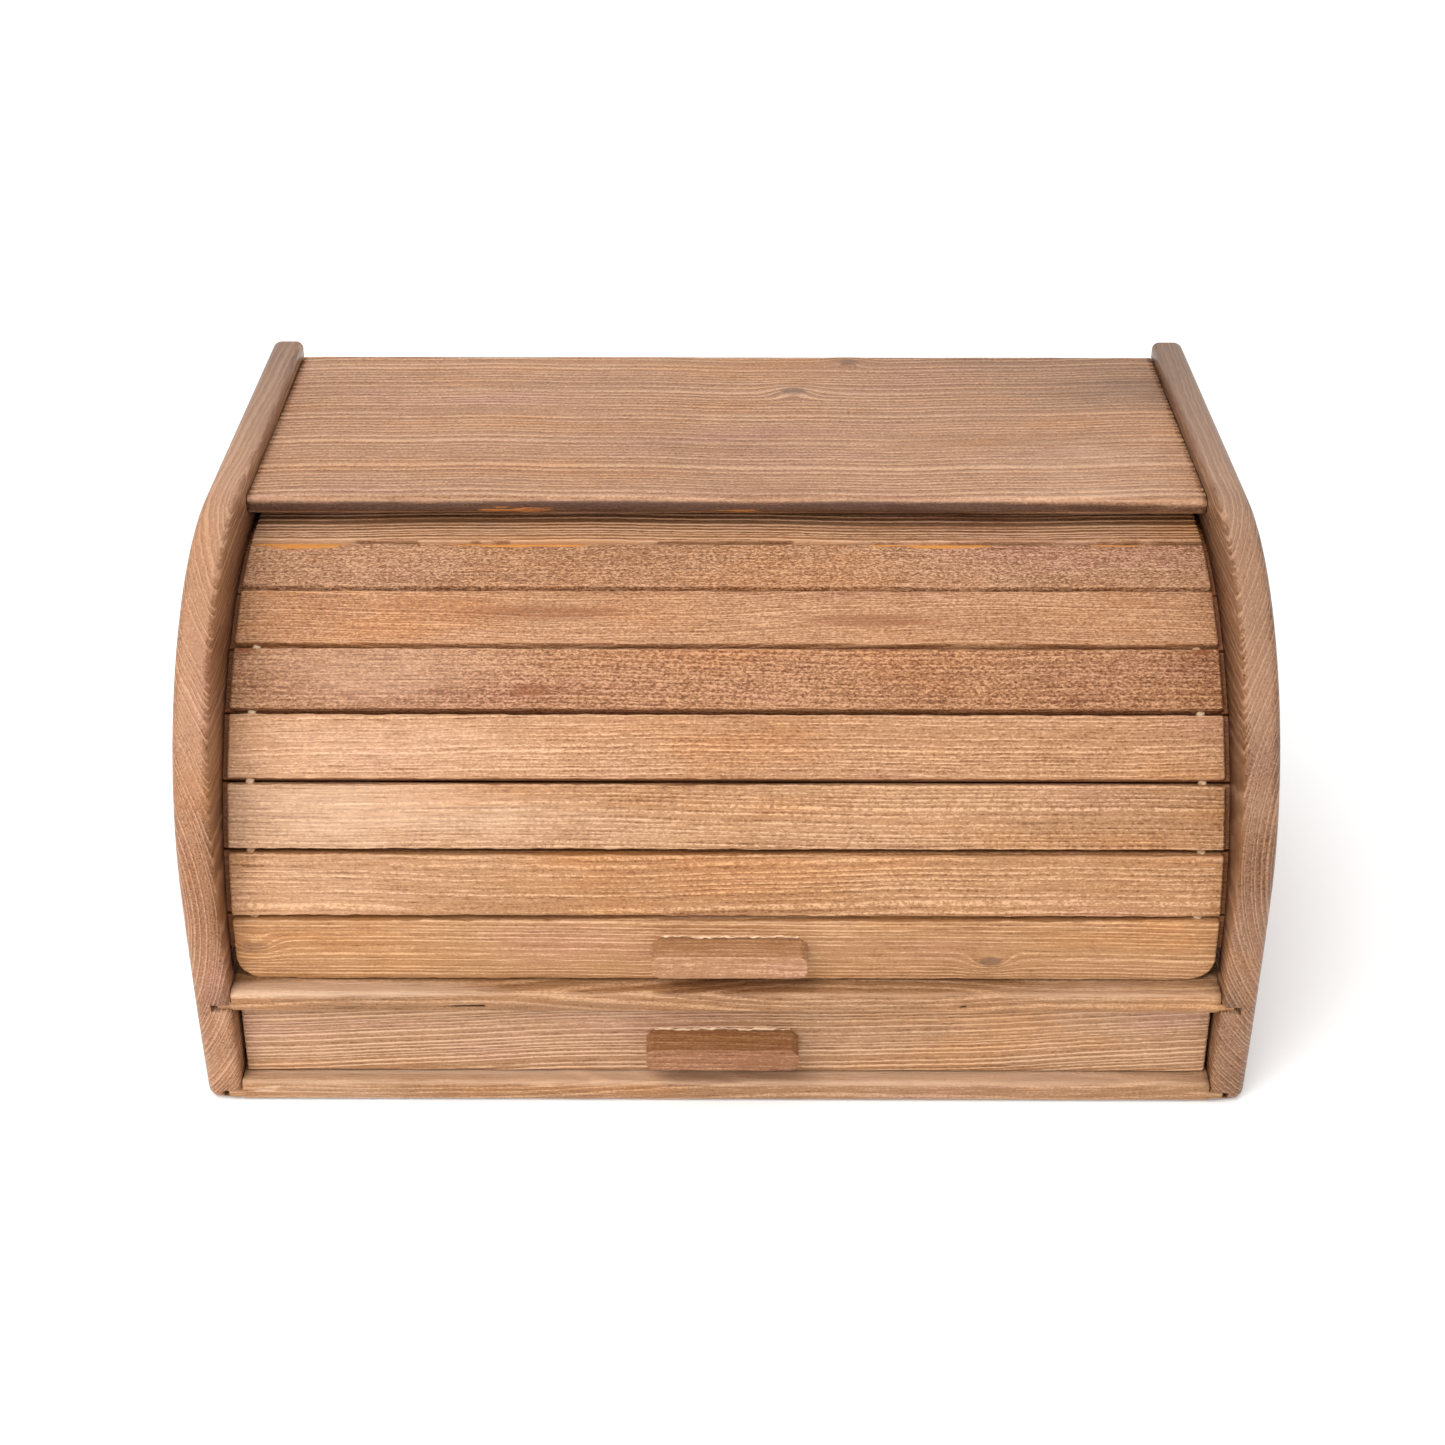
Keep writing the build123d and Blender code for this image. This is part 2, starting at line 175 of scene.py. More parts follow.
class Graph:
    """Short calls that build one shader tree."""

    def __init__(self, tree: bpy.types.NodeTree) -> None:
        """Works on the tree given."""
        self.tree = tree

    def feed(self, node: bpy.types.Node, inputs: dict[str | int, Any]) -> None:
        """Sets or links a node's inputs.

        Args:
            node: the node.
            inputs: values, sockets or terms for its inputs, by name or number.
        """
        for key, value in inputs.items():
            if isinstance(value, Term):
                value = value.socket
            if isinstance(value, bpy.types.NodeSocket):
                self.tree.links.new(value, node.inputs[key])
            else:
                node.inputs[key].default_value = value

    def add(self, kind: str, inputs: dict[str | int, Any], **settings: Any) -> bpy.types.Node:
        """Adds a node.

        Args:
            kind: the node's type name.
            inputs: values, sockets or terms for its inputs, by name or number.
            settings: its plain properties.

        Returns:
            The new node.
        """
        node = self.tree.nodes.new(kind)
        for key, value in settings.items():
            setattr(node, key, value)
        self.feed(node, inputs)
        return node

    def term(self, socket: bpy.types.NodeSocket) -> Term:
        """A socket as a number for arithmetic."""
        return Term(self.tree, socket)

    def axes(self, vector: bpy.types.NodeSocket) -> tuple[Term, ...]:
        """A vector's three numbers."""
        parts = self.add("ShaderNodeSeparateXYZ", {0: vector})
        return tuple(self.term(socket) for socket in parts.outputs)

    def stretched(self, vector: bpy.types.NodeSocket, per_metre: Point,
                  shift: float = 0.0) -> bpy.types.NodeSocket:
        """Coordinates counted in grain-sized cells.

        Args:
            vector: coordinates in metres.
            per_metre: cells to the metre along each axis.
            shift: moves the pattern, so that two layers differ.

        Returns:
            The counted coordinates.
        """
        node = self.add("ShaderNodeVectorMath", {0: vector, 1: per_metre, 2: (shift, shift, shift)},
                        operation="MULTIPLY_ADD")
        return node.outputs[0]

    def noise(self, vector: bpy.types.NodeSocket, detail: float = 2.0, roughness: float = 0.55) -> Term:
        """Noise of one cell to the unit.

        Args:
            vector: coordinates in cells.
            detail: how many finer layers are added.
            roughness: each finer layer's strength, as a share of the one before.

        Returns:
            The noise, from 0 to 1.
        """
        node = self.add("ShaderNodeTexNoise", {"Vector": vector, "Scale": 1.0, "Detail": detail,
                                               "Roughness": roughness})
        return self.term(node.outputs[0])

    def mix(self, share: Term | float, first: Any, second: Any) -> bpy.types.NodeSocket:
        """One colour with some of another mixed in.

        Args:
            share: how much of the second, from 0 to 1.
            first: the colour that it goes into, a socket or a plain colour.
            second: the colour that is mixed in.

        Returns:
            The mixed colour.
        """
        values = [v if isinstance(v, bpy.types.NodeSocket) else (*v[:3], 1.0) for v in (first, second)]
        node = self.add("ShaderNodeMix", {0: share, 6: values[0], 7: values[1]},
                        data_type="RGBA", clamp_factor=True)
        return node.outputs[2]

    def skin(self, inputs: dict[str, Any], height: Any, strength: float, depth: float) -> None:
        """Ends a material: its surface with bumps on it, wired to the output.

        Args:
            inputs: the surface's values by input name.
            height: the bumps' height.
            strength: how much of the bumps is seen.
            depth: what a height of 1 measures, in metres.
        """
        bump = self.add("ShaderNodeBump", {"Strength": strength, "Distance": depth, "Height": height})
        surface = self.add("ShaderNodeBsdfPrincipled", {**inputs, "Normal": bump.outputs[0]})
        self.add("ShaderNodeOutputMaterial", {"Surface": surface.outputs[0]})


def new_material(name: str) -> tuple[bpy.types.Material, Graph, bpy.types.NodeSocket]:
    """Starts an empty material.

    Args:
        name: the material's name.

    Returns:
        The material, its graph, and the place on the piece in metres.
    """
    material = bpy.data.materials.new(name)
    material.use_nodes = True
    graph = Graph(material.node_tree)
    graph.tree.nodes.clear()
    return material, graph, graph.add("ShaderNodeTexCoord", {}).outputs["Object"]


def new_group(name: str, inputs: dict[str, str],
              outputs: dict[str, str]) -> tuple[Graph, dict[str, Any], bpy.types.Node]:
    """Starts a shader node group.

    Args:
        name: the group's name.
        inputs: "Float", "Color" or "Vector" for each input by name. A number that nothing feeds is 0.
        outputs: the same for each output.

    Returns:
        The group's graph, its inputs by name, numbers as terms, and its output node.
    """
    tree = bpy.data.node_groups.new(name, "ShaderNodeTree")
    for way, sockets in (("INPUT", inputs), ("OUTPUT", outputs)):
        for label, kind in sockets.items():
            tree.interface.new_socket(name=label, in_out=way, socket_type=f"NodeSocket{kind}")
    start = tree.nodes.new("NodeGroupInput")
    values = {label: Term(tree, start.outputs[label]) if kind == "Float" else start.outputs[label]
              for label, kind in inputs.items()}
    return Graph(tree), values, tree.nodes.new("NodeGroupOutput")


# ------------------------------------------------------------------------------- growth rings
LONG_SWAY, LIFT_SWAY, SHORT_SWAY = 0.31, 0.23, 0.067   # wavelengths of a log's middle line
RIPPLE_LENGTH, RIPPLE = mm(12.5, 0.10)                 # fine ripples along each ring


@dataclass(frozen=True)
class Knot:
    """A knot: rings crowd round its core. Places and sizes are in the box's own frame."""

    centre: Point
    size: Point
    rings: float = 2.5
    core: float = 0.45

    def local(self, points: np.ndarray) -> np.ndarray:
        """Points seen from the knot's middle, in knot sizes."""
        return (points - np.array(self.centre)) / np.array(self.size)


@dataclass(frozen=True)
class Grain:
    """How one board was sawn from its log."""

    pith: Point                    # a point on the log's middle line
    turn: float = 0.0              # from X to the grain's direction, about Z
    spacing: float = 3.0 * MM      # ring to ring
    sway: float = 2.0 * MM         # how far the middle line wanders
    slope: float = 0.01            # how far it leans, per metre of length
    phase: float = 0.0             # makes two boards differ
    knots: tuple[Knot, ...] = ()

    def local(self, points: np.ndarray) -> np.ndarray:
        """Points in the log's frame: first along the grain, then across it, from the middle line."""
        turned = np.array(Matrix.Rotation(-self.turn, 3, "Z"))
        return (points - np.array(self.pith)) @ turned.T


def ring_count(x: Number, y: Number, z: Number, grain: Any, swirl: Number) -> Number:
    """Rings counted out from the log's middle line.

    The middle line sways from side to side along the grain with two wavelengths, leans by a steady
    slope, and fine ripples run along each ring. The count is the distance from that line in ring
    spacings, with rings that are wider in some years than in others.

    Args:
        x: distance along the grain.
        y: first distance across the grain.
        z: second distance across the grain.
        grain: holds spacing, sway, slope and phase, as numbers or terms.
        swirl: rings added round knots.

    Returns:
        The count, whose whole part is the ring's number.
    """
    across = y + grain.sway * sine(x * (TAU / LONG_SWAY) + grain.phase)
    across = across + grain.sway * 0.22 * sine(x * (TAU / SHORT_SWAY) + grain.phase * 2.3)
    across = across + sine(x * (TAU / RIPPLE_LENGTH) + y * 420.0) * RIPPLE
    above = z + x * grain.slope + grain.sway * 0.5 * sine(x * (TAU / LIFT_SWAY) + grain.phase * 1.7)
    count = root(across * across + above * above) / grain.spacing + swirl
    return count + sine(count * 0.83 + grain.phase) * 0.45 + sine(count * 2.9 + grain.phase * 3.0) * 0.12


def late_wood(count: Number) -> Number:
    """Share of hard late wood, from the ring count: a narrow ridge in each ring."""
    turn = part_of_turn(count)
    return ease(turn, 0.36, 0.62) * (1.0 - ease(turn, 0.74, 0.90))


def groove(count: Number) -> Number:
    """Share of the brushed-out groove that follows each ridge, from the ring count."""
    turn = part_of_turn(count)
    return ease(turn, 0.80, 0.93) + (1.0 - ease(turn, 0.02, 0.20))


def nearness(x: Number, y: Number, z: Number) -> Number:
    """How near a point is to a knot, from its place in knot sizes: a bell, 1 at the middle."""
    return fade(x * x + y * y + z * z)


def relief_of(points: np.ndarray, grain: Grain) -> np.ndarray:
    """Late wood over a board, from the same formulas as the shader's.

    Args:
        points: places on the board.
        grain: how it was sawn.

    Returns:
        The late wood's share at each point.
    """
    swirl = np.zeros(len(points))
    for knot in grain.knots:
        swirl = swirl + knot.rings * nearness(*knot.local(points).T)
    return late_wood(ring_count(*grain.local(points).T, grain, swirl))


# ------------------------------------------------------------------------------- shader groups
SAWN = ("Spacing", "Sway", "Slope", "Phase", "Swirl")
BRUSHED = ("Lines", "Dashes", "Fibres", "Grit", "Clouds", "Gloss")
STAINED = ("Ground", "Ridge", "Deep", "Pale", "PoolAndShade", "Raw", "Core Color")


class Mask(Enum):
    """The painted masks that a board's mesh carries."""

    EDGE = "edge"
    RAW = "raw"
    DARK = "dark"
    PALE = "pale"

    @property
    def label(self) -> str:
        """The stain group's input for this mask."""
        return f"{self.value.capitalize()} Mask"


def sockets_of(kind: str, *labels: str) -> dict[str, str]:
    """One kind of socket for each label."""
    return dict.fromkeys(labels, kind)


@dataclass(frozen=True)
class GrainTerms:
    """The numbers of a Grain as terms in a shader tree."""

    spacing: Term
    sway: Term
    slope: Term
    phase: Term


class WoodShaders:
    """The node groups that every wooden finish shares, each built once."""

    def __init__(self) -> None:
        """Builds the groups."""
        self.knot = self.build_knot()
        self.rings = self.build_rings()
        self.fibres = self.build_fibres()
        self.stain = self.build_stain()

    @staticmethod
    def build_knot() -> bpy.types.NodeTree:
        """Knot: from the place seen from the knot in knot sizes, rings to add and the dark core.

        Returns:
            The node group.
        """
        graph, given, out = new_group("knot", {"Place": "Vector", **sockets_of("Float", "Rings", "Core")},
                                      sockets_of("Float", "Swirl", "Mask"))
        near = nearness(*graph.axes(given["Place"]))
        ragged = graph.noise(graph.stretched(given["Place"], (3.0, 3.0, 3.0))) * 0.2
        graph.feed(out, {"Swirl": near * given["Rings"],
                         "Mask": ease(near + ragged, 0.72, 0.98) * given["Core"]})
        return graph.tree

    @staticmethod
    def build_rings() -> bpy.types.NodeTree:
        """Growth rings: from a place in the log, the late wood share and a tone for each few years.

        Returns:
            The node group.
        """
        graph, given, out = new_group("growth_rings", {"Place": "Vector", **sockets_of("Float", *SAWN)},
                                      sockets_of("Float", "Late", "Groove", "Years"))
        x, y, z = graph.axes(given["Place"])
        grain = GrainTerms(given["Spacing"], given["Sway"], given["Slope"], given["Phase"])
        count = ring_count(x, y, z, grain, given["Swirl"])
        slow = graph.add("ShaderNodeCombineXYZ", {0: count * 0.6, 1: x * 6.0, 2: given["Phase"]})
        graph.feed(out, {"Late": late_wood(count), "Groove": groove(count),
                         "Years": graph.noise(slow.outputs[0], 1.0)})
        return graph.tree

    @staticmethod
    def build_fibres() -> bpy.types.NodeTree:
        """Fine grain: streaks, beads, brush speckle and broad patches, all along the grain.

        Returns:
            The node group.
        """
        layers = {"Streaks": ((80.0, 1500.0, 1500.0), 0.0, 3.0, 0.6),
                  "Beads": ((620.0, 520.0, 520.0), 7.0, 1.0, 0.55),
                  "Speckle": ((760.0, 1350.0, 1350.0), 19.0, 2.0, 0.7),
                  "Patches": ((11.0, 34.0, 34.0), 3.0, 2.0, 0.5),
                  "Warmth": ((8.0, 30.0, 30.0), 11.0, 3.0, 0.6)}
        graph, given, out = new_group("fibres", {"Place": "Vector", "Phase": "Float"},
                                      sockets_of("Float", *layers))
        shift = graph.add("ShaderNodeCombineXYZ", {0: given["Phase"], 1: given["Phase"] * 1.7, 2: 0.0})
        place = graph.add("ShaderNodeVectorMath", {0: given["Place"], 1: shift.outputs[0]}).outputs[0]
        for label, (per_metre, moved, detail, roughness) in layers.items():
            cells = graph.stretched(place, per_metre, moved)
            graph.feed(out, {label: graph.noise(cells, detail, roughness)})
        return graph.tree

    def build_stain(self) -> bpy.types.NodeTree:
        """Stained and brushed wood: colour, roughness and height from the rings, fibres and masks.

        The tone is a half, raised by ridges and lowered by grooves, with streaks, speckle and
        patches added as they stray from their mean. It runs from the deep colour through the
        ground colour to the ridge colour. Warm and rosy stretches follow, and then the painted
        masks, each with a ragged border and its own colour.

        Returns:
            The node group.
        """
        numbers = sockets_of("Float", *SAWN, *BRUSHED, "Core", *(mask.label for mask in Mask))
        graph, given, out = new_group("stained_wood",
                                      {"Place": "Vector", **numbers, **sockets_of("Color", *STAINED)},
                                      {"Color": "Color", **sockets_of("Float", "Roughness", "Height")})
        rings = graph.add("ShaderNodeGroup", {}, node_tree=self.rings)
        fibres = graph.add("ShaderNodeGroup", {}, node_tree=self.fibres)
        graph.feed(rings, {label: given[label] for label in ("Place", *SAWN)})
        graph.feed(fibres, {label: given[label] for label in ("Place", "Phase")})
        late, dip, years = (graph.term(rings.outputs[k]) for k in ("Late", "Groove", "Years"))
        streaks, beads, speckle, patches = (graph.term(fibres.outputs[k]) - 0.5
                                            for k in ("Streaks", "Beads", "Speckle", "Patches"))
        whole = 1.0 - given["Dashes"] * ease(beads, -0.06, 0.10)
        lines = late * whole * 0.46 - dip * (1.4 - whole) * 0.26
        lines = lines * given["Lines"] * ease(years, 0.22, 0.55)
        fine = streaks * given["Fibres"] * 1.1 + speckle * given["Grit"] * 2.2
        tone = lines + fine + patches * given["Clouds"] + 0.5
        color = graph.mix(ease(tone, 0.0, 0.5), given["Deep"], given["Ground"])
        color = graph.mix(ease(tone, 0.5, 1.0), color, given["Ridge"])
        warmth = graph.term(fibres.outputs["Warmth"])
        warm, rosy = ease(warmth, 0.48, 0.72), 1.0 - ease(warmth, 0.30, 0.48)
        for share, tint in ((warm, (1.03, 0.91, 0.72)), (rosy, (0.97, 0.93, 1.06))):
            tinted = graph.add("ShaderNodeVectorMath", {0: color, 1: tint}, operation="MULTIPLY")
            color = graph.mix(share, color, tinted.outputs[0])
        ragged = streaks + patches
        # The masks also lay painted light and shade: the pale mask paints sheen and light as well as dust,
        # the edge mask paints light on the side panels' rims, and the dark mask paints shade on tongues and
        # the top board's front edge as well as pooled stain.
        for mask, raggedness, low, high, most, stain in ((Mask.PALE, 0.8, 0.05, 1.2, 0.8, "Pale"),
                                                         (Mask.EDGE, 0.9, 0.25, 0.95, 0.35, "Ridge"),
                                                         (Mask.DARK, 1.2, 0.15, 1.0, 0.85, "PoolAndShade"),
                                                         (Mask.RAW, 1.4, 0.42, 0.60, 1.0, "Raw")):
            share = ease(given[mask.label] + ragged * raggedness, low, high) * most
            color = graph.mix(share, color, given[stain])
        graph.feed(out, {"Color": graph.mix(given["Core"], color, given["Core Color"]),
                         "Roughness": streaks * 0.25 + speckle * 0.2 + 0.48 - late * 0.07 - given["Gloss"],
                         "Height": lines * 0.8 + fine * 0.55})
        return graph.tree


# ------------------------------------------------------------------------------- finishes
def srgb(red: int, green: int, blue: int) -> Color:
    """A display colour from 0 to 255 as linear light."""
    return tuple((c / 255 / 12.92) if c <= 10 else ((c / 255 + 0.055) / 1.055) ** 2.4
                 for c in (red, green, blue))


@dataclass(frozen=True)
class WoodFinish:
    """A stain and how it took on the wood. Tones are display values from 0 to 255."""

    name: str
    tone: Tone
    light: int = 44
    dark: int = 46
    # colour of the dark mask: pooled stain, and painted shade on the slats' tongues and the top board's
    # front edge
    pool_and_shade: Tone = (106, 60, 34)
    raw: Tone = (196, 128, 58)
    core: Tone = (92, 66, 52)
    lines: float = 1.0
    dashes: float = 0.4
    fibres: float = 1.0
    grit: float = 0.5
    clouds: float = 0.5
    gloss: float = 0.0
    bump: float = 0.8

    def shifted(self, red: int, green: int, blue: int) -> Color:
        """The tone moved by a change on each channel."""
        return srgb(*(value + step for value, step in zip(self.tone, (red, green, blue))))

    def colors(self) -> dict[str, Color]:
        """The stain's colours.

        Returns:
            Each colour by the name of the stain group's input.
        """
        light, deep = self.light, -self.dark
        return {"Ground": srgb(*self.tone),
                "Ridge": self.shifted(light, light, light),
                "Deep": self.shifted(deep, deep, deep),
                # the pale colour, lighter and greyer than the ground: pale dust, and painted sheen and
                # painted light
                "Pale": self.shifted(light + 6, light + 14, light + 22),
                "PoolAndShade": srgb(*self.pool_and_shade),
                "Raw": srgb(*self.raw),
                "Core Color": srgb(*self.core)}

    def material(self, shaders: WoodShaders, label: str, grain: Grain) -> bpy.types.Material:
        """Makes this finish for one board.

        Args:
            shaders: the shared node groups.
            label: the board's name.
            grain: how the board was sawn.

        Returns:
            The material.
        """
        material, graph, place = new_material(f"{self.name}_{label}")
        turned = Matrix.Rotation(-grain.turn, 3, "Z") @ Vector(grain.pith)
        in_log = graph.add("ShaderNodeMapping", {"Vector": place, "Location": tuple(-turned),
                                                 "Rotation": (0.0, 0.0, -grain.turn)}).outputs[0]
        stain = graph.add("ShaderNodeGroup", {
            "Place": in_log, "Spacing": grain.spacing, "Sway": grain.sway, "Slope": grain.slope,
            "Phase": grain.phase, "Lines": self.lines, "Dashes": self.dashes, "Fibres": self.fibres,
            "Grit": self.grit, "Clouds": self.clouds, "Gloss": self.gloss}, node_tree=shaders.stain)
        graph.feed(stain, {key: (*color, 1.0) for key, color in self.colors().items()})
        for mask in Mask:
            painted = graph.add("ShaderNodeAttribute", {}, attribute_name=mask.value)
            graph.feed(stain, {mask.label: painted.outputs["Fac"]})
        self.add_knots(graph, shaders, stain, place, grain)
        graph.skin({"Base Color": stain.outputs["Color"], "Roughness": stain.outputs["Roughness"],
                    "Specular IOR Level": 0.36}, stain.outputs["Height"], self.bump, 0.6 * MM)
        return material

    @staticmethod
    def add_knots(graph: Graph, shaders: WoodShaders, stain: bpy.types.Node,
                  place: bpy.types.NodeSocket, grain: Grain) -> None:
        """Feeds the rings and the dark cores of a board's knots into its stain.

        Args:
            graph: the board's material.
            shaders: the shared node groups.
            stain: the board's stain node.
            place: the place on the board.
            grain: holds the knots.
        """
        swirl, core = None, None
        for knot in grain.knots:
            scale = tuple(1.0 / size for size in knot.size)
            shift = tuple(-c * s for c, s in zip(knot.centre, scale))
            seen = graph.add("ShaderNodeVectorMath", {0: place, 1: scale, 2: shift},
                             operation="MULTIPLY_ADD")
            node = graph.add("ShaderNodeGroup", {"Place": seen.outputs[0], "Rings": knot.rings,
                                                 "Core": knot.core}, node_tree=shaders.knot)
            added, mask = graph.term(node.outputs["Swirl"]), graph.term(node.outputs["Mask"])
            swirl = added if swirl is None else swirl + added
            core = mask if core is None else core + mask
        if swirl is not None:
            graph.feed(stain, {"Swirl": swirl, "Core": core})


@dataclass(frozen=True)
class MetalFinish:
    """Plain fastener metal with a dulled, slightly scratched surface."""

    name: str
    color: Color
    roughness: float

    def material(self) -> bpy.types.Material:
        """Makes the finish.

        Returns:
            The material.
        """
        material, graph, place = new_material(self.name)
        dull = graph.noise(graph.stretched(place, (900.0, 900.0, 900.0)), 3.0)
        dark = tuple(c * 0.55 for c in self.color)
        graph.skin({"Base Color": graph.mix(ease(dull, 0.4, 0.7), self.color, dark), "Metallic": 1.0,
                    "Roughness": dull * 0.25 + self.roughness}, dull, 0.2, 0.2 * MM)
        return material


@dataclass(frozen=True)
class CordFinish:
    """Cotton yarn, with fine fibres along each strand and stain rubbed into it."""

    name: str = "cotton_cord"
    color: Color = srgb(222, 200, 168)
    soiled: Color = srgb(170, 122, 84)

    def material(self) -> bpy.types.Material:
        """Makes the finish.

        Returns:
            The material.
        """
        material, graph, place = new_material(self.name)
        along = graph.add("ShaderNodeUVMap", {}, uv_map="strand").outputs[0]
        fibres = graph.noise(graph.stretched(along, (700.0, 30.0, 1.0)), 3.0)
        soil = graph.noise(graph.stretched(place, (180.0, 180.0, 180.0)), 2.0)
        color = graph.mix(ease(soil, 0.35, 0.65) * 0.8, self.color, self.soiled)
        color = graph.mix((1.0 - ease(fibres, 0.3, 0.6)) * 0.4, color, self.soiled)
        graph.skin({"Base Color": color, "Roughness": 0.9, "Specular IOR Level": 0.2},
                   fibres, 0.6, 0.2 * MM)
        return material


@dataclass(frozen=True)
class GlueFinish:
    """Dried glue that the stain didn't colour, but for some darker spots."""

    name: str = "dried_glue"
    color: Color = srgb(216, 184, 149)
    spots: Color = srgb(158, 112, 74)

    def material(self) -> bpy.types.Material:
        """Makes the finish.

        Returns:
            The material.
        """
        material, graph, place = new_material(self.name)
        lumps = graph.noise(graph.stretched(place, (260.0, 600.0, 600.0)), 3.0)
        color = graph.mix(ease(lumps, 0.45, 0.62) * 0.65, self.color, self.spots)
        graph.skin({"Base Color": color, "Roughness": 0.5}, lumps, 0.4, 0.3 * MM)
        return material


SLAT_STAIN = WoodFinish("slat_stain", (166, 120, 82), pool_and_shade=(124, 66, 24))
TOP_STAIN = WoodFinish("top_stain", (152, 109, 76), pool_and_shade=(50, 22, 8), raw=(164, 100, 44), dashes=0.35,
                       grit=0.8, clouds=0.4)
RAIL_STAIN = WoodFinish("rail_stain", (145, 105, 70), lines=0.7, dashes=0.3, grit=0.45)
SIDE_STAIN = WoodFinish("side_stain", (143, 99, 67), light=38, dark=44, dashes=0.3, fibres=1.3, clouds=0.9,
                        gloss=0.08)
HANDLE_STAIN = WoodFinish("handle_stain", (152, 108, 72), lines=0.4)
# the drawer handle's darker copy of the handle stain: partly a darker stain, partly painted shade
SHADED_HANDLE_STAIN = replace(HANDLE_STAIN, name="shaded_handle_stain", tone=(133, 88, 51))
DRAWER_STAIN = WoodFinish("drawer_stain", (158, 118, 84), lines=1.25, dashes=0.25, grit=0.4)
PLY_STAIN = WoodFinish("ply_stain", (186, 150, 110), lines=0.3, grit=0.4, light=26, dark=34)
SCREW_METAL = MetalFinish("screw_metal", (0.55, 0.50, 0.38), 0.32)
NAIL_METAL = MetalFinish("nail_metal", (0.32, 0.31, 0.30), 0.42)


# ------------------------------------------------------------------------------- surfaces
def wander(x: np.ndarray, seed: int, wavelength: float) -> np.ndarray:
    """A smooth irregular line between about -1 and 1.

    It is the sum of five sines with seeded phases over 3.2. Their wavelengths run from three times
    to a third of the one given.

    Args:
        x: where along the line.
        seed: picks the line.
        wavelength: the middle wavelength.

    Returns:
        The line's height at each x.
    """
    rng = np.random.default_rng(seed)
    lengths = wavelength * np.geomspace(3.0, 1 / 3, 5)
    phases = rng.uniform(0, TAU, 5)
    return np.sin(np.asarray(x)[..., None] * (TAU / lengths) + phases).sum(-1) / 3.2


ROUND_LINES = 4   # grid lines from a flat face to the middle of an edge's rounding, both counted


def grid_lines(low: float, high: float, round_low: float, round_high: float, step: float) -> np.ndarray:
    """Places of a block's grid lines along one axis.

    Lines in an edge's rounding stand at equal turns of its arc, and the others are evenly spaced.

    Args:
        low: the block's lower end.
        high: its upper end.
        round_low: radius at the lower end.
        round_high: radius at the upper end.
        step: most that two lines between the roundings are apart.

    Returns:
        The places, rising.
    """
    bend = np.tan(np.linspace(0.0, math.pi / 4, ROUND_LINES))
    inner_low, inner_high = low + round_low, high - round_high
    count = max(2, round((inner_high - inner_low) / step) + 1)
    middle = np.linspace(inner_low, inner_high, count)
    return np.concatenate([inner_low - round_low * bend[:0:-1], middle, inner_high + round_high * bend[1:]])


def lattice_surface(lines: Sequence[np.ndarray]) -> tuple[np.ndarray, np.ndarray]:
    """Outer faces of a box cut along grid lines, as one closed surface.

    Each face is a grid of squares over two of the axes, and a corner is numbered by its three line
    numbers, so that faces share the corners on their seams.

    Args:
        lines: the grid lines' places on the three axes.

    Returns:
        The corners, and the squares as corner numbers, wound to face outwards.
    """
    counts = [len(places) for places in lines]
    lower_turns, upper_turns = ((0, 0), (0, 1), (1, 1), (1, 0)), ((0, 0), (1, 0), (1, 1), (0, 1))
    squares = []
    for axis in range(3):
        first, second = (axis + 1) % 3, (axis + 2) % 3
        a, b = np.meshgrid(np.arange(counts[first] - 1), np.arange(counts[second] - 1), indexing="ij")
        for end, turns in ((0, lower_turns), (counts[axis] - 1, upper_turns)):
            corners = []
            for step_a, step_b in turns:
                number = [np.full_like(a, end)] * 3
                number[first], number[second] = a + step_a, b + step_b
                corners.append(np.ravel_multi_index(number, counts))
            squares.append(np.stack(corners, -1).reshape(-1, 4))
    used, squares = np.unique(np.concatenate(squares), return_inverse=True)
    numbers = np.unravel_index(used, counts)
    return np.stack([lines[i][numbers[i]] for i in range(3)], -1), squares.reshape(-1, 4)


def normals_of(points: np.ndarray, squares: np.ndarray) -> np.ndarray:
    """Normals at a surface's corners: the sum of the cross products of their squares' diagonals.

    Args:
        points: the corners.
        squares: the squares as corner numbers.

    Returns:
        A unit normal for each corner.
    """
    corner = points[squares]
    facing = np.cross(corner[:, 2] - corner[:, 0], corner[:, 3] - corner[:, 1])
    total = np.zeros_like(points)
    for i in range(4):
        np.add.at(total, squares[:, i], facing)
    return total / np.maximum(np.linalg.norm(total, axis=1, keepdims=True), 1e-12)


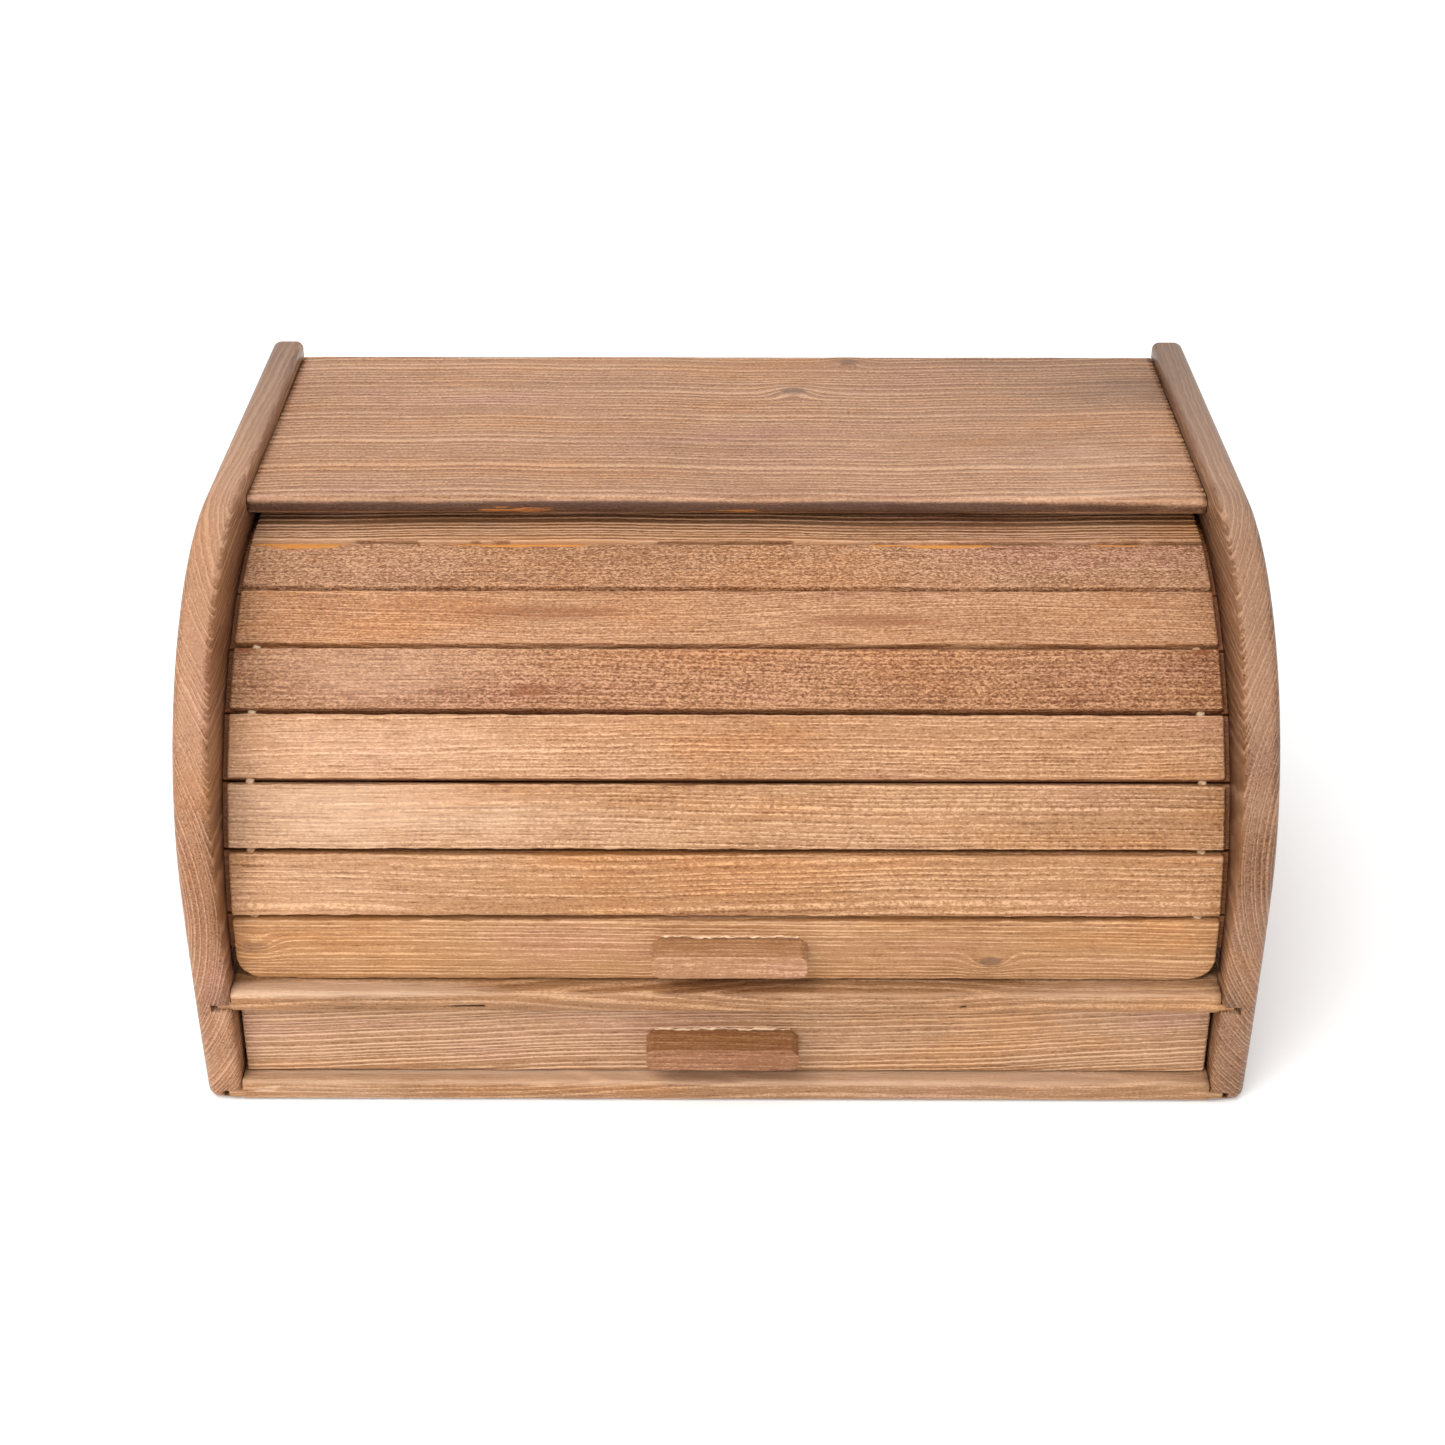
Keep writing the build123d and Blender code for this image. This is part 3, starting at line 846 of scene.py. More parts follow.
@dataclass
class Surface:
    """A closed surface with the masks painted on it."""

    points: np.ndarray
    squares: np.ndarray
    masks: dict[str, np.ndarray] = field(default_factory=dict)

    def joined(self, other: "Surface") -> "Surface":
        """Puts another surface beside this one in one mesh.

        Args:
            other: the other surface.

        Returns:
            Both, each with its masks and with 0 for the masks that only the other has.
        """
        masks = {}
        for key in {*self.masks, *other.masks}:
            masks[key] = np.concatenate([s.masks.get(key, np.zeros(len(s.points))) for s in (self, other)])
        return Surface(np.concatenate([self.points, other.points]),
                       np.concatenate([self.squares, other.squares + len(self.points)]), masks)

    def mesh_object(self, name: str) -> bpy.types.Object:
        """Makes the Blender object, smooth, with its place in its mesh.

        Args:
            name: the object's name.

        Returns:
            The object, with the masks as attributes.
        """
        mesh = bpy.data.meshes.new(name)
        mesh.vertices.add(len(self.points))
        mesh.vertices.foreach_set("co", self.points.astype(np.float32).ravel())
        mesh.loops.add(self.squares.size)
        mesh.loops.foreach_set("vertex_index", self.squares.astype(np.int32).ravel())
        mesh.polygons.add(len(self.squares))
        mesh.polygons.foreach_set("loop_start", np.arange(len(self.squares), dtype=np.int32) * 4)
        mesh.polygons.foreach_set("use_smooth", np.ones(len(self.squares), bool))
        mesh.update(calc_edges=True)
        for key, values in self.masks.items():
            paint_mask(mesh, key, values)
        return link_object(name, mesh)


def paint_mask(mesh: bpy.types.Mesh, name: str, values: np.ndarray) -> None:
    """Stores a mask's value at each of a mesh's vertices."""
    mesh.attributes.new(name, "FLOAT", "POINT").data.foreach_set("value", values.astype(np.float32))


def link_object(name: str, data: bpy.types.ID) -> bpy.types.Object:
    """Makes an object of a mesh, light or camera and puts it in the scene.

    Args:
        name: the object's name.
        data: what it shows.

    Returns:
        The object.
    """
    made = bpy.data.objects.new(name, data)
    bpy.context.scene.collection.objects.link(made)
    return made


def dress(made: bpy.types.Object, material: bpy.types.Material, body: str,
          node: str | None = None) -> None:
    """Gives a new piece its material and hangs it on its body.

    Args:
        made: the piece.
        material: its material.
        body: the body it rides on.
        node: the CAD node that it stands in for, if any.
    """
    made.data.materials.append(material)
    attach(made, body)
    if node:
        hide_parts(node)
    log.info("%s: %d faces", made.name, len(made.data.polygons))


@dataclass(frozen=True)
class Block:
    """A box with rounded edges, as a board comes off the sander.

    The radii are a pair for each axis: at its lower end and at its upper end. A point's offset
    from the box inset by the radii is scaled so that a square corner becomes a round one: by the
    largest of its three parts, in radii, over their joint length, which is the root of the sum of
    their squares.
    """

    low: Point
    high: Point
    radii: tuple[tuple[float, float], ...]
    step: Point

    def surface(self) -> Surface:
        """Rounds the block.

        Returns:
            The closed surface, with the edge mask: the second largest part, from 0 in a flat
            face to 1 on an edge.
        """
        lines = [grid_lines(self.low[i], self.high[i], *self.radii[i], self.step[i]) for i in range(3)]
        points, squares = lattice_surface(lines)
        radii_low, radii_high = np.array(self.radii).T
        core = np.clip(points, np.array(self.low) + radii_low, np.array(self.high) - radii_high)
        offset = points - core
        shares = np.abs(offset) / np.where(offset < 0, radii_low, radii_high)
        largest = shares.max(1, keepdims=True)
        joint = (shares ** 2.0).sum(1, keepdims=True) ** 0.5
        points = core + offset * largest / np.maximum(joint, 1e-9)
        return Surface(points, squares, {Mask.EDGE.value: np.sort(shares, axis=1)[:, 1]})


def even(radius: float) -> tuple[tuple[float, ...], ...]:
    """Radii of a block that is rounded alike all over, from one in millimetres."""
    return (mm(radius, radius),) * 3


@dataclass(frozen=True)
class PaintedPatch:
    """A patch on a board: where the stain pooled, missed or was rubbed pale, and painted light and shade.
    """

    mask: Mask
    centre: Point
    size: Point
    strength: float = 1.0
    edge: float = 2.0

    def paint(self, points: np.ndarray) -> np.ndarray:
        """The patch's share at each point: a bell over an ellipsoid, flatter on top with a high edge."""
        away = (((points - np.array(self.centre)) / np.array(self.size)) ** 2).sum(1)
        return self.strength * np.exp(-away ** self.edge)


@dataclass
class Board:
    """One wooden piece: its blocks, its wood, its stain and its marks."""

    name: str
    body: str
    slot: str
    finish: WoodFinish
    grain: Grain
    blocks: Sequence[Block]
    painted_patches: Sequence[PaintedPatch] = ()
    relief: float = 0.12 * MM
    tongue_shade: float = 0.0
    shape: Move | None = None
    place: Move | None = None

    def build(self, shaders: WoodShaders) -> bpy.types.Object:
        """Makes the piece, dresses it and hangs it on its body in place of its CAD node.

        The first block is the board and the others are its tongues, which get the dark mask at the board's
        tongue shade: painted shade for the slats' tongues in the dark gaps by the side panels. Between the
        rings' ridges the surface is sunk along its normals by up to the relief.

        Args:
            shaders: the shared node groups.

        Returns:
            The piece.
        """
        surface = self.blocks[0].surface()
        for block in self.blocks[1:]:
            tongue = block.surface()
            # painted shade: the tongues sit in the dark gaps between the slats and the side panels
            tongue.masks[Mask.DARK.value] = np.full(len(tongue.points), self.tongue_shade)
            surface = surface.joined(tongue)
        if self.shape:
            surface.points = self.shape(surface.points)
        for mask in (Mask.RAW, Mask.DARK, Mask.PALE):
            patches = [b.paint(surface.points) for b in self.painted_patches if b.mask is mask]
            if patches:
                before = surface.masks.get(mask.value, 0.0)
                surface.masks[mask.value] = np.maximum(np.max(patches, axis=0), before)
        if self.place:
            surface.points = self.place(surface.points)
        sunk = (1.0 - relief_of(surface.points, self.grain)) * self.relief
        surface.points = surface.points - normals_of(surface.points, surface.squares) * sunk[:, None]
        made = surface.mesh_object(f"{self.name}_wood")
        dress(made, self.finish.material(shaders, self.name, self.grain), self.body, self.name)
        return made


# ------------------------------------------------------------------------------- roll top
HALF_INSIDE = -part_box("side_panel_left")[1].x   # half the distance between the side panels


@dataclass(frozen=True)
class Slat:
    """How one slat was sawn, and how the stain took on it. Lengths are in millimetres."""

    pith_up: float      # from the slat to the log's middle, up its face
    pith_out: float     # and outwards from it
    spacing: float      # ring to ring
    relief: float       # how far the brush went down between the ridges
    tone: Tone
    lines: float
    dashes: float
    grit: float


SLATS = (Slat(-150, -70, 1.90, 0.10, (160, 116, 76), 0.8, 0.2, 0.35),
         Slat(120, -60, 2.30, 0.10, (157, 112, 73), 0.9, 0.7, 0.6),
         Slat(-190, -40, 2.00, 0.10, (157, 114, 77), 1.0, 0.8, 0.6),
         Slat(140, -50, 1.55, 0.05, (161, 116, 79), 0.9, 0.5, 0.7),
         Slat(-110, -60, 1.70, 0.05, (147, 99, 62), 0.8, 0.8, 1.4),
         Slat(-160, -30, 1.15, 0.05, (155, 108, 71), 0.8, 0.3, 0.9),
         Slat(100, -80, 1.90, 0.10, (157, 112, 78), 0.3, 0.5, 1.5),
         Slat(150, -20, 2.60, 0.34, (150, 107, 73), 1.8, 0.1, 0.5),
         Slat(-120, -50, 3.00, 0.10, (168, 122, 88), 1.0, 0.3, 0.5))


@dataclass(frozen=True)
class RollTop:
    """The slats on their round track, their cords and the lid handle."""

    track: Point = tuple(next(j for j in frame["joints"] if j["child"] == "roll_top")["pos_m"])
    pitch: float = math.radians(12.09)
    lead_angle: float = math.radians(1.315)
    face_radius: float = 124.3 * MM
    width: float = 24.5 * MM
    thickness: float = 8.0 * MM
    edge_wear: float = 0.42 * MM
    shoulder_wear: float = 0.1 * MM
    lead_extra: float = 1.9 * MM
    lead_corner: float = 10.0 * MM
    lead_tongue_from: float = -2.0 * MM
    shoulder_gap: float = 2.0 * MM
    tongue_thickness: float = 4.0 * MM
    tongue_reach: float = 5.0 * MM
    # how dark the slats' tongues are painted: painted shade in the gaps by the side panels
    tongue_shade: float = 0.9
    cord_inset: float = 8.0 * MM
    cord_radius: float = 1.75 * MM
    cord_lay: float = 5.5 * MM
    cord_strands: int = 3
    cord_points: int = 420
    cord_start: float = -5.0 * MM
    cord_end_in: float = 1.3 * MM
    knot_radius: float = 2.5 * MM
    knot_yarn: float = 0.85 * MM
    handle_middle: float = 1.5 * MM
    body: str = "roll_top"

    @property
    def half_length(self) -> float:
        """Half of a slat's length between its shoulders."""
        return HALF_INSIDE - self.shoulder_gap

    def name(self, index: int) -> str:
        """CAD node of a slat, counted from the lead slat."""
        return "lead_slat" if index == 0 else f"slat_{index + 1}"

    def placer(self, index: int) -> Move:
        """Turns a slat's own frame into the box's.

        A slat's frame is X, the way up along the track, and outwards from its face. The angle about
        the track's middle sets the last two directions.

        Args:
            index: the slat, counted from the lead slat.

        Returns:
            A function from points in the slat's frame to points in the box's frame.
        """
        angle = self.lead_angle + self.pitch * index
        along = np.array([0.0, math.sin(angle), math.cos(angle)])
        outward = np.array([0.0, -math.cos(angle), math.sin(angle)])
        start = np.array(self.track) + outward * self.face_radius

        def place(points: np.ndarray) -> np.ndarray:
            """Carries the points over."""
            return (start + points[:, :1] * np.array([1.0, 0.0, 0.0]) + points[:, 1:2] * along
                    + points[:, 2:3] * outward)

        return place

    def slat_shape(self, index: int) -> Move:
        """Hand-worn shape of a slat: long edges that wander, and round corners on the lead slat.

        Args:
            index: the slat, counted from the lead slat.

        Returns:
            A function from the sanded block's points to the worn slat's.
        """
        half, half_width = self.half_length, self.width / 2

        def shape(points: np.ndarray) -> np.ndarray:
            """Wears the long edges in, and the face's ends in or out.

            Args:
                points: the sanded block's, in the slat's frame.

            Returns:
                The worn slat's.
            """
            x, t, n = points.T.copy()
            near_face = ease(n, -4.5 * MM, -1.0 * MM)
            for sign in (-1, 1):
                worn = 0.5 + 0.5 * wander(x, 100 + 2 * index + sign, 18 * MM)
                near_edge = ease(t * sign, half_width - 3 * MM, half_width)
                t = t - sign * worn * near_edge * near_face * self.edge_wear
            near_shoulder = ease(np.abs(x), half - 6 * MM, half)
            n = n + near_shoulder * wander(t, 50 + index, 12 * MM) * self.shoulder_wear
            if index == 0:
                inner = half - self.lead_corner, half_width + self.lead_extra - self.lead_corner
                x, t = cut_corners(x, t, inner, 2.0, False)
            return np.stack([x, t, n], -1)

        return shape

    def grain(self, index: int) -> Grain:
        """How a slat was sawn: its log's middle is far above or below it, and behind its face.

        Args:
            index: the slat, counted from the lead slat.

        Returns:
            The grain. The lead slat has two knots.
        """
        slat = SLATS[index]
        pith = self.placer(index)(np.array([[0.0, slat.pith_up * MM, slat.pith_out * MM]]))[0]
        knots = ()
        if index == 0:
            right, left = self.placer(0)(np.array([[99.5, -5.5, 0.0], [-177.0, 0.5, 0.0]]) * MM)
            knots = Knot(tuple(right), mm(8, 14, 3.8), 3.4, 0.6), Knot(tuple(left), mm(9, 14, 5), 2.6, 0.3)
        return Grain(tuple(pith), spacing=slat.spacing * MM, sway=(0.9 + 0.5 * (index % 3)) * MM,
                     slope=0.010 * (-1) ** index, phase=1.7 * index + 0.4, knots=knots)

    def slat(self, index: int) -> Board:
        """One slat with its end tongues.

        Args:
            index: the slat, counted from the lead slat.

        Returns:
            The board, ready to build.
        """
        low = -self.width / 2 - (self.lead_extra if index == 0 else 0.0)
        tongue_low = self.lead_tongue_from if index == 0 else low
        high, half = self.width / 2, self.half_length
        reach, root_in = HALF_INSIDE + self.tongue_reach, half - 1 * MM
        blocks = [Block((-half, low, -self.thickness), (half, high, 0.0),
                        (mm(0.9, 0.9), mm(1.1, 1.1), mm(0.5, 1.1)), mm(2.3, 0.42, 1.2))]
        for left, right in ((-reach, -root_in), (root_in, reach)):
            blocks.append(Block((left, tongue_low, -self.thickness + 0.05 * MM),
                                (right, high, self.tongue_thickness - self.thickness),
                                even(0.4), mm(1.5, 1.5, 1.5)))
        look = SLATS[index]
        finish = replace(SLAT_STAIN, name=f"slat_stain_{index + 1}", tone=look.tone, lines=look.lines,
                         dashes=look.dashes, grit=look.grit)
        return Board(self.name(index), self.body, "slat_wood", finish, self.grain(index), blocks,
                     self.painted_patches().get(index, ()), look.relief * MM, self.tongue_shade,
                     self.slat_shape(index), self.placer(index))

    def painted_patches(self) -> dict[int, tuple[PaintedPatch, ...]]:
        """Marks in each slat's own frame.

        Returns:
            The marks by slat, counted from the lead slat. The pale patches at the left of slats 2 to 5 are
            painted sheen. slat_7 has a strip of bare wood.
        """
        top = self.width / 2 / MM - 0.6

        def on_face(mask: Mask, x: float, t: float, wide: float, tall: float, strength: float = 1.0,
                    edge: float = 2.0) -> PaintedPatch:
            """A mark on the outer face, in millimetres."""
            return PaintedPatch(mask, mm(x, t, 0), mm(wide, tall, 6), strength, edge)

        return {
            # painted sheen: the pale patches at the left of slats 2 to 5 stand in for a lamp's reflection
            1: (on_face(Mask.PALE, -140, 2, 70, 20, 0.45, 1.0),),
            2: (on_face(Mask.PALE, -140, 2, 100, 22, 0.7, 1.0),),
            3: (on_face(Mask.PALE, -150, 0, 90, 20, 0.35, 1.0), on_face(Mask.DARK, 70, 4, 40, 5, 0.35)),
            4: (on_face(Mask.PALE, -140, 0, 60, 20, 0.75, 1.0), on_face(Mask.DARK, -72, -5, 9, 3.2, 0.8),
                on_face(Mask.DARK, 178, 11.5, 4, 3, 1.1), on_face(Mask.DARK, -180, 12.2, 6, 2.4, 1.1)),
            5: (on_face(Mask.DARK, -72, 1.6, 40, 4, 0.62), on_face(Mask.DARK, 56, -1.7, 30, 3, 0.6),
                on_face(Mask.RAW, -165, 9.5, 16, 1.6, 0.5)),
            6: tuple(on_face(Mask.RAW, x, top, wide, tall, strength, 1.3) for x, wide, tall, strength in
                     ((-166, 19, 3.2, 1.0), (-76, 30, 2.4, 1.0), (81, 28, 2.2, 0.9), (150, 14, 1.5, 0.8))),
        }

    def build(self, shaders: WoodShaders) -> None:
        """Makes every piece of the roll top.

        Args:
            shaders: the shared node groups.
        """
        for index in range(len(SLATS)):
            self.slat(index).build(shaders)
        Handle("lid_handle", self.body, self.placer(0), self.handle_middle).build(shaders)
        dress_cad("lid_handle_screws", SCREW_METAL.material())
        self.cords()

    def cord_path(self, side: int) -> np.ndarray:
        """Middle line of a cord, drawn tight from slat to slat.

        In each slat it runs straight at half thickness, so its distance from the track's middle is
        the slat's half-thickness radius over the cosine of the angle from the slat's middle.

        Args:
            side: -1 for the left cord, 1 for the right one.

        Returns:
            The points, from the lead slat to the trailing one.
        """
        mid_radius = self.face_radius - self.thickness / 2
        first = self.cord_start / mid_radius
        last = self.pitch * (len(SLATS) - 1) + (self.width / 2 - self.cord_end_in) / mid_radius
        turned = np.linspace(first, last, self.cord_points)
        from_middle = (turned + self.pitch / 2) % self.pitch - self.pitch / 2
        radius = mid_radius / np.cos(from_middle)
        angle = self.lead_angle + turned
        x = np.full_like(turned, side * (self.half_length - self.cord_inset))
        y = self.track[1] - radius * np.cos(angle)
        z = self.track[2] + radius * np.sin(angle)
        return np.stack([x, y, z], -1)

    def cords(self) -> None:
        """The two twisted cords with a knot at the trailing slat."""
        material = CordFinish().material()
        for side, node in ((-1, "cord_left"), (1, "cord_right")):
            line = self.cord_path(side)
            surface = twisted_cord(line, self.cord_radius, self.cord_strands, self.cord_lay)
            surface = surface.joined(knot_surface(line[-1], self.knot_radius, self.knot_yarn))
            made = surface.mesh_object(f"{node}_yarn")
            add_strand_map(made, surface)
            dress(made, material, self.body, node)


def cut_corners(x: np.ndarray, t: np.ndarray, inner: tuple[float, float], power: float,
                both: bool) -> tuple[np.ndarray, np.ndarray]:
    """Cuts the corners of an outline in the face's plane.

    Beyond the inner lines, an offset is scaled by its larger part over its joint length, as on a
    block's edges.

    Args:
        x: across the face.
        t: up the face.
        inner: where the corners start, on x and on t.
        power: 2 for round corners, 1 for straight cuts.
        both: cuts the upper corners too.

    Returns:
        The new x and t.
    """
    off_x = np.sign(x) * np.maximum(np.abs(x) - inner[0], 0.0)
    off_t = np.minimum(t + inner[1], 0.0) + (np.maximum(t - inner[1], 0.0) if both else 0.0)
    parts = np.abs(off_x), np.abs(off_t)
    joint = (parts[0] ** power + parts[1] ** power) ** (1 / power)
    scale = np.maximum(*parts) / np.maximum(joint, 1e-9)
    scale = np.where((parts[0] > 0) & (parts[1] > 0), scale, 1.0)
    return x - off_x * (1 - scale), t - off_t * (1 - scale)


# ------------------------------------------------------------------------------- tubes
TUBE_SIDES = 8
PINCH = 0.05           # an open tube's end radius, as a share of its radius
STRAND_SHARE = 0.52    # a strand's radius, as a share of its cord's


def frames_along(line: np.ndarray) -> tuple[np.ndarray, np.ndarray]:
    """Two unit vectors across a line at each of its points, which don't spin.

    Both are cross products with the line's direction: the first of a fixed guide, the second of the
    first.

    Args:
        line: the line's points.

    Returns:
        The first and the second vectors.
    """
    ahead = np.gradient(line, axis=0)
    ahead /= np.linalg.norm(ahead, axis=1, keepdims=True)
    guide = np.array([1.0, 0.0, 0.0]) if abs(ahead[:, 0]).max() < 0.9 else np.array([0.0, 0.0, 1.0])
    first = np.cross(guide, ahead)
    first /= np.linalg.norm(first, axis=1, keepdims=True)
    return first, np.cross(ahead, first)


def tube(line: np.ndarray, radius: np.ndarray | float, closed: bool = False) -> Surface:
    """A tube: circles of the given radius carried along a line.

    Args:
        line: the tube's middle line.
        radius: its radius, one number or one for each point.
        closed: joins its ends to each other, where an open tube's are pinched and capped.

    Returns:
        The closed surface.
    """
    first, second = frames_along(line)
    radius = np.broadcast_to(np.asarray(radius, float), len(line)).copy()
    if not closed:
        radius[[0, -1]] *= PINCH
    angle = np.arange(TUBE_SIDES) * (TAU / TUBE_SIDES)
    ring = (first[:, None] * np.cos(angle)[None, :, None] + second[:, None] * np.sin(angle)[None, :, None])
    points = (line[:, None] + ring * radius[:, None, None]).reshape(-1, 3)
    rows = len(line) if closed else len(line) - 1
    i, j = np.meshgrid(np.arange(rows), np.arange(TUBE_SIDES), indexing="ij")
    here, ahead, over = i * TUBE_SIDES, (i + 1) % len(line) * TUBE_SIDES, (j + 1) % TUBE_SIDES
    squares = np.stack([here + j, here + over, ahead + over, ahead + j], -1).reshape(-1, 4)
    if not closed:
        squares = np.concatenate([squares, *end_caps(len(line))])
    return Surface(points, squares)


def end_caps(rows: int) -> tuple[np.ndarray, np.ndarray]:
    """A strip of squares across each end of a tube.

    Args:
        rows: how many circles the tube has.

    Returns:
        The strips at the first and at the last circle, as corner numbers.
    """
    k = np.arange(TUBE_SIDES // 2 - 1)
    strip = np.stack([k, (TUBE_SIDES - 1 - k) % TUBE_SIDES, (TUBE_SIDES - 2 - k) % TUBE_SIDES, k + 1], -1)
    return strip, strip[:, ::-1] + (rows - 1) * TUBE_SIDES


def twisted_cord(line: np.ndarray, radius: float, strands: int, lay: float) -> Surface:
    """A laid cord: strands wound round a line, each a tube on a helix about it.

    Args:
        line: the cord's middle line.
        radius: the cord's radius.
        strands: how many strands.
        lay: length along the cord of one turn.

    Returns:
        The strands as closed tubes.
    """
    first, second = frames_along(line)
    walked = np.concatenate([[0.0], np.cumsum(np.linalg.norm(np.diff(line, axis=0), axis=1))])
    thick = radius * STRAND_SHARE
    result = None
    for number in range(strands):
        angle = (walked / lay + number / strands) * TAU
        offset = first * np.cos(angle)[:, None] + second * np.sin(angle)[:, None]
        strand = tube(line + offset * (radius - thick), thick)
        result = strand if result is None else result.joined(strand)
    return result


def knot_surface(centre: np.ndarray, size: float, thick: float) -> Surface:
    """A small pulled knot: a tube along a trefoil, three loops that pass over and under.

    Args:
        centre: the knot's middle.
        size: its radius.
        thick: the yarn's radius.

    Returns:
        The closed surface.
    """
    t = np.linspace(0, TAU, 72, endpoint=False)
    loop = np.stack([np.sin(t) + 2 * np.sin(2 * t), np.cos(t) - 2 * np.cos(2 * t), -np.sin(3 * t)], -1)
    return tube(centre + loop / 3.0 * (size - thick), thick, closed=True)


def add_strand_map(made: bpy.types.Object, surface: Surface) -> None:
    """Gives a cord's mesh a UV map: across the strand, then along it.

    Args:
        made: the cord.
        surface: the surface that it was made from.
    """
    layer = made.data.uv_layers.new(name="strand")
    corners = surface.squares.ravel()
    across = (corners % TUBE_SIDES) / TUBE_SIDES * 0.01
    uv = np.stack([across, surface.points[corners, 2] + surface.points[corners, 1]], -1)
    layer.data.foreach_set("uv", uv.astype(np.float32).ravel())


# ------------------------------------------------------------------------------- handles
@dataclass(frozen=True)
class Handle:
    """A short bar with cut corners, and the line of dried glue over it."""

    name: str
    body: str
    place: Move                    # from the face's frame (X, up, outwards) to the box's
    middle: float                  # the bar's middle along X
    finish: WoodFinish = HANDLE_STAIN
    half_wide: float = 29.0 * MM
    half_tall: float = 4.9 * MM
    deep: float = 13.0 * MM
    corner_cut: float = 2.4 * MM
    glue_inset: float = 3.0 * MM   # how far the glue ends short of the bar's ends

    @property
    def seed(self) -> int:
        """A number that differs from handle to handle."""
        return len(self.name)

    def shape(self, points: np.ndarray) -> np.ndarray:
        """Hand-sanded: its corners are cut, and its upper and lower faces wander a little.

        Args:
            points: the plain bar's, in the face's frame.

        Returns:
            The sanded bar's.
        """
        x, t, n = points.T.copy()
        inner = self.half_wide - self.corner_cut, self.half_tall - self.corner_cut
        x, t = cut_corners(x - self.middle, t, inner, 1.0, True)
        t = t * (1.0 - 0.04 * (0.5 + 0.5 * wander(x, self.seed, 20 * MM)))
        return np.stack([x + self.middle, t, n], -1)

    def build(self, shaders: WoodShaders) -> None:
        """Makes the bar and its glue.

        Args:
            shaders: the shared node groups.
        """
        block = Block((self.middle - self.half_wide, -self.half_tall, -0.05 * MM),
                      (self.middle + self.half_wide, self.half_tall, self.deep),
                      (mm(0.4, 0.4), mm(0.4, 0.4), mm(0.2, 0.5)), mm(0.45, 0.4, 0.6))
        pith = self.place(np.array([mm(0, -30, 34)]))[0]
        grain = Grain(tuple(pith), spacing=2.3 * MM, sway=1.5 * MM, slope=0.03, phase=float(self.seed))
        Board(self.name, self.body, "handle_wood", self.finish, grain, [block], relief=0.08 * MM,
              shape=self.shape, place=self.place).build(shaders)
        self.glue()

    def glue(self) -> None:
        """A thin uneven bead of glue along the handle's upper edge, where it meets the wood."""
        reach, seed = self.half_wide - self.glue_inset, 7 + self.seed
        x = np.linspace(self.middle - reach, self.middle + reach, 160)
        up = self.half_tall + (0.1 + 0.8 * np.clip(0.5 + 0.6 * wander(x, seed, 12 * MM), 0, 1)) * MM
        thick = (0.18 + 0.5 * np.clip(0.4 + 0.7 * wander(x, seed + 1, 10 * MM), 0, 1)) * MM
        line = self.place(np.stack([x, up, np.full_like(x, 0.05 * MM)], -1))
        made = tube(line, thick).mesh_object(f"{self.name}_glue")
        dress(made, GlueFinish().material(), self.body)


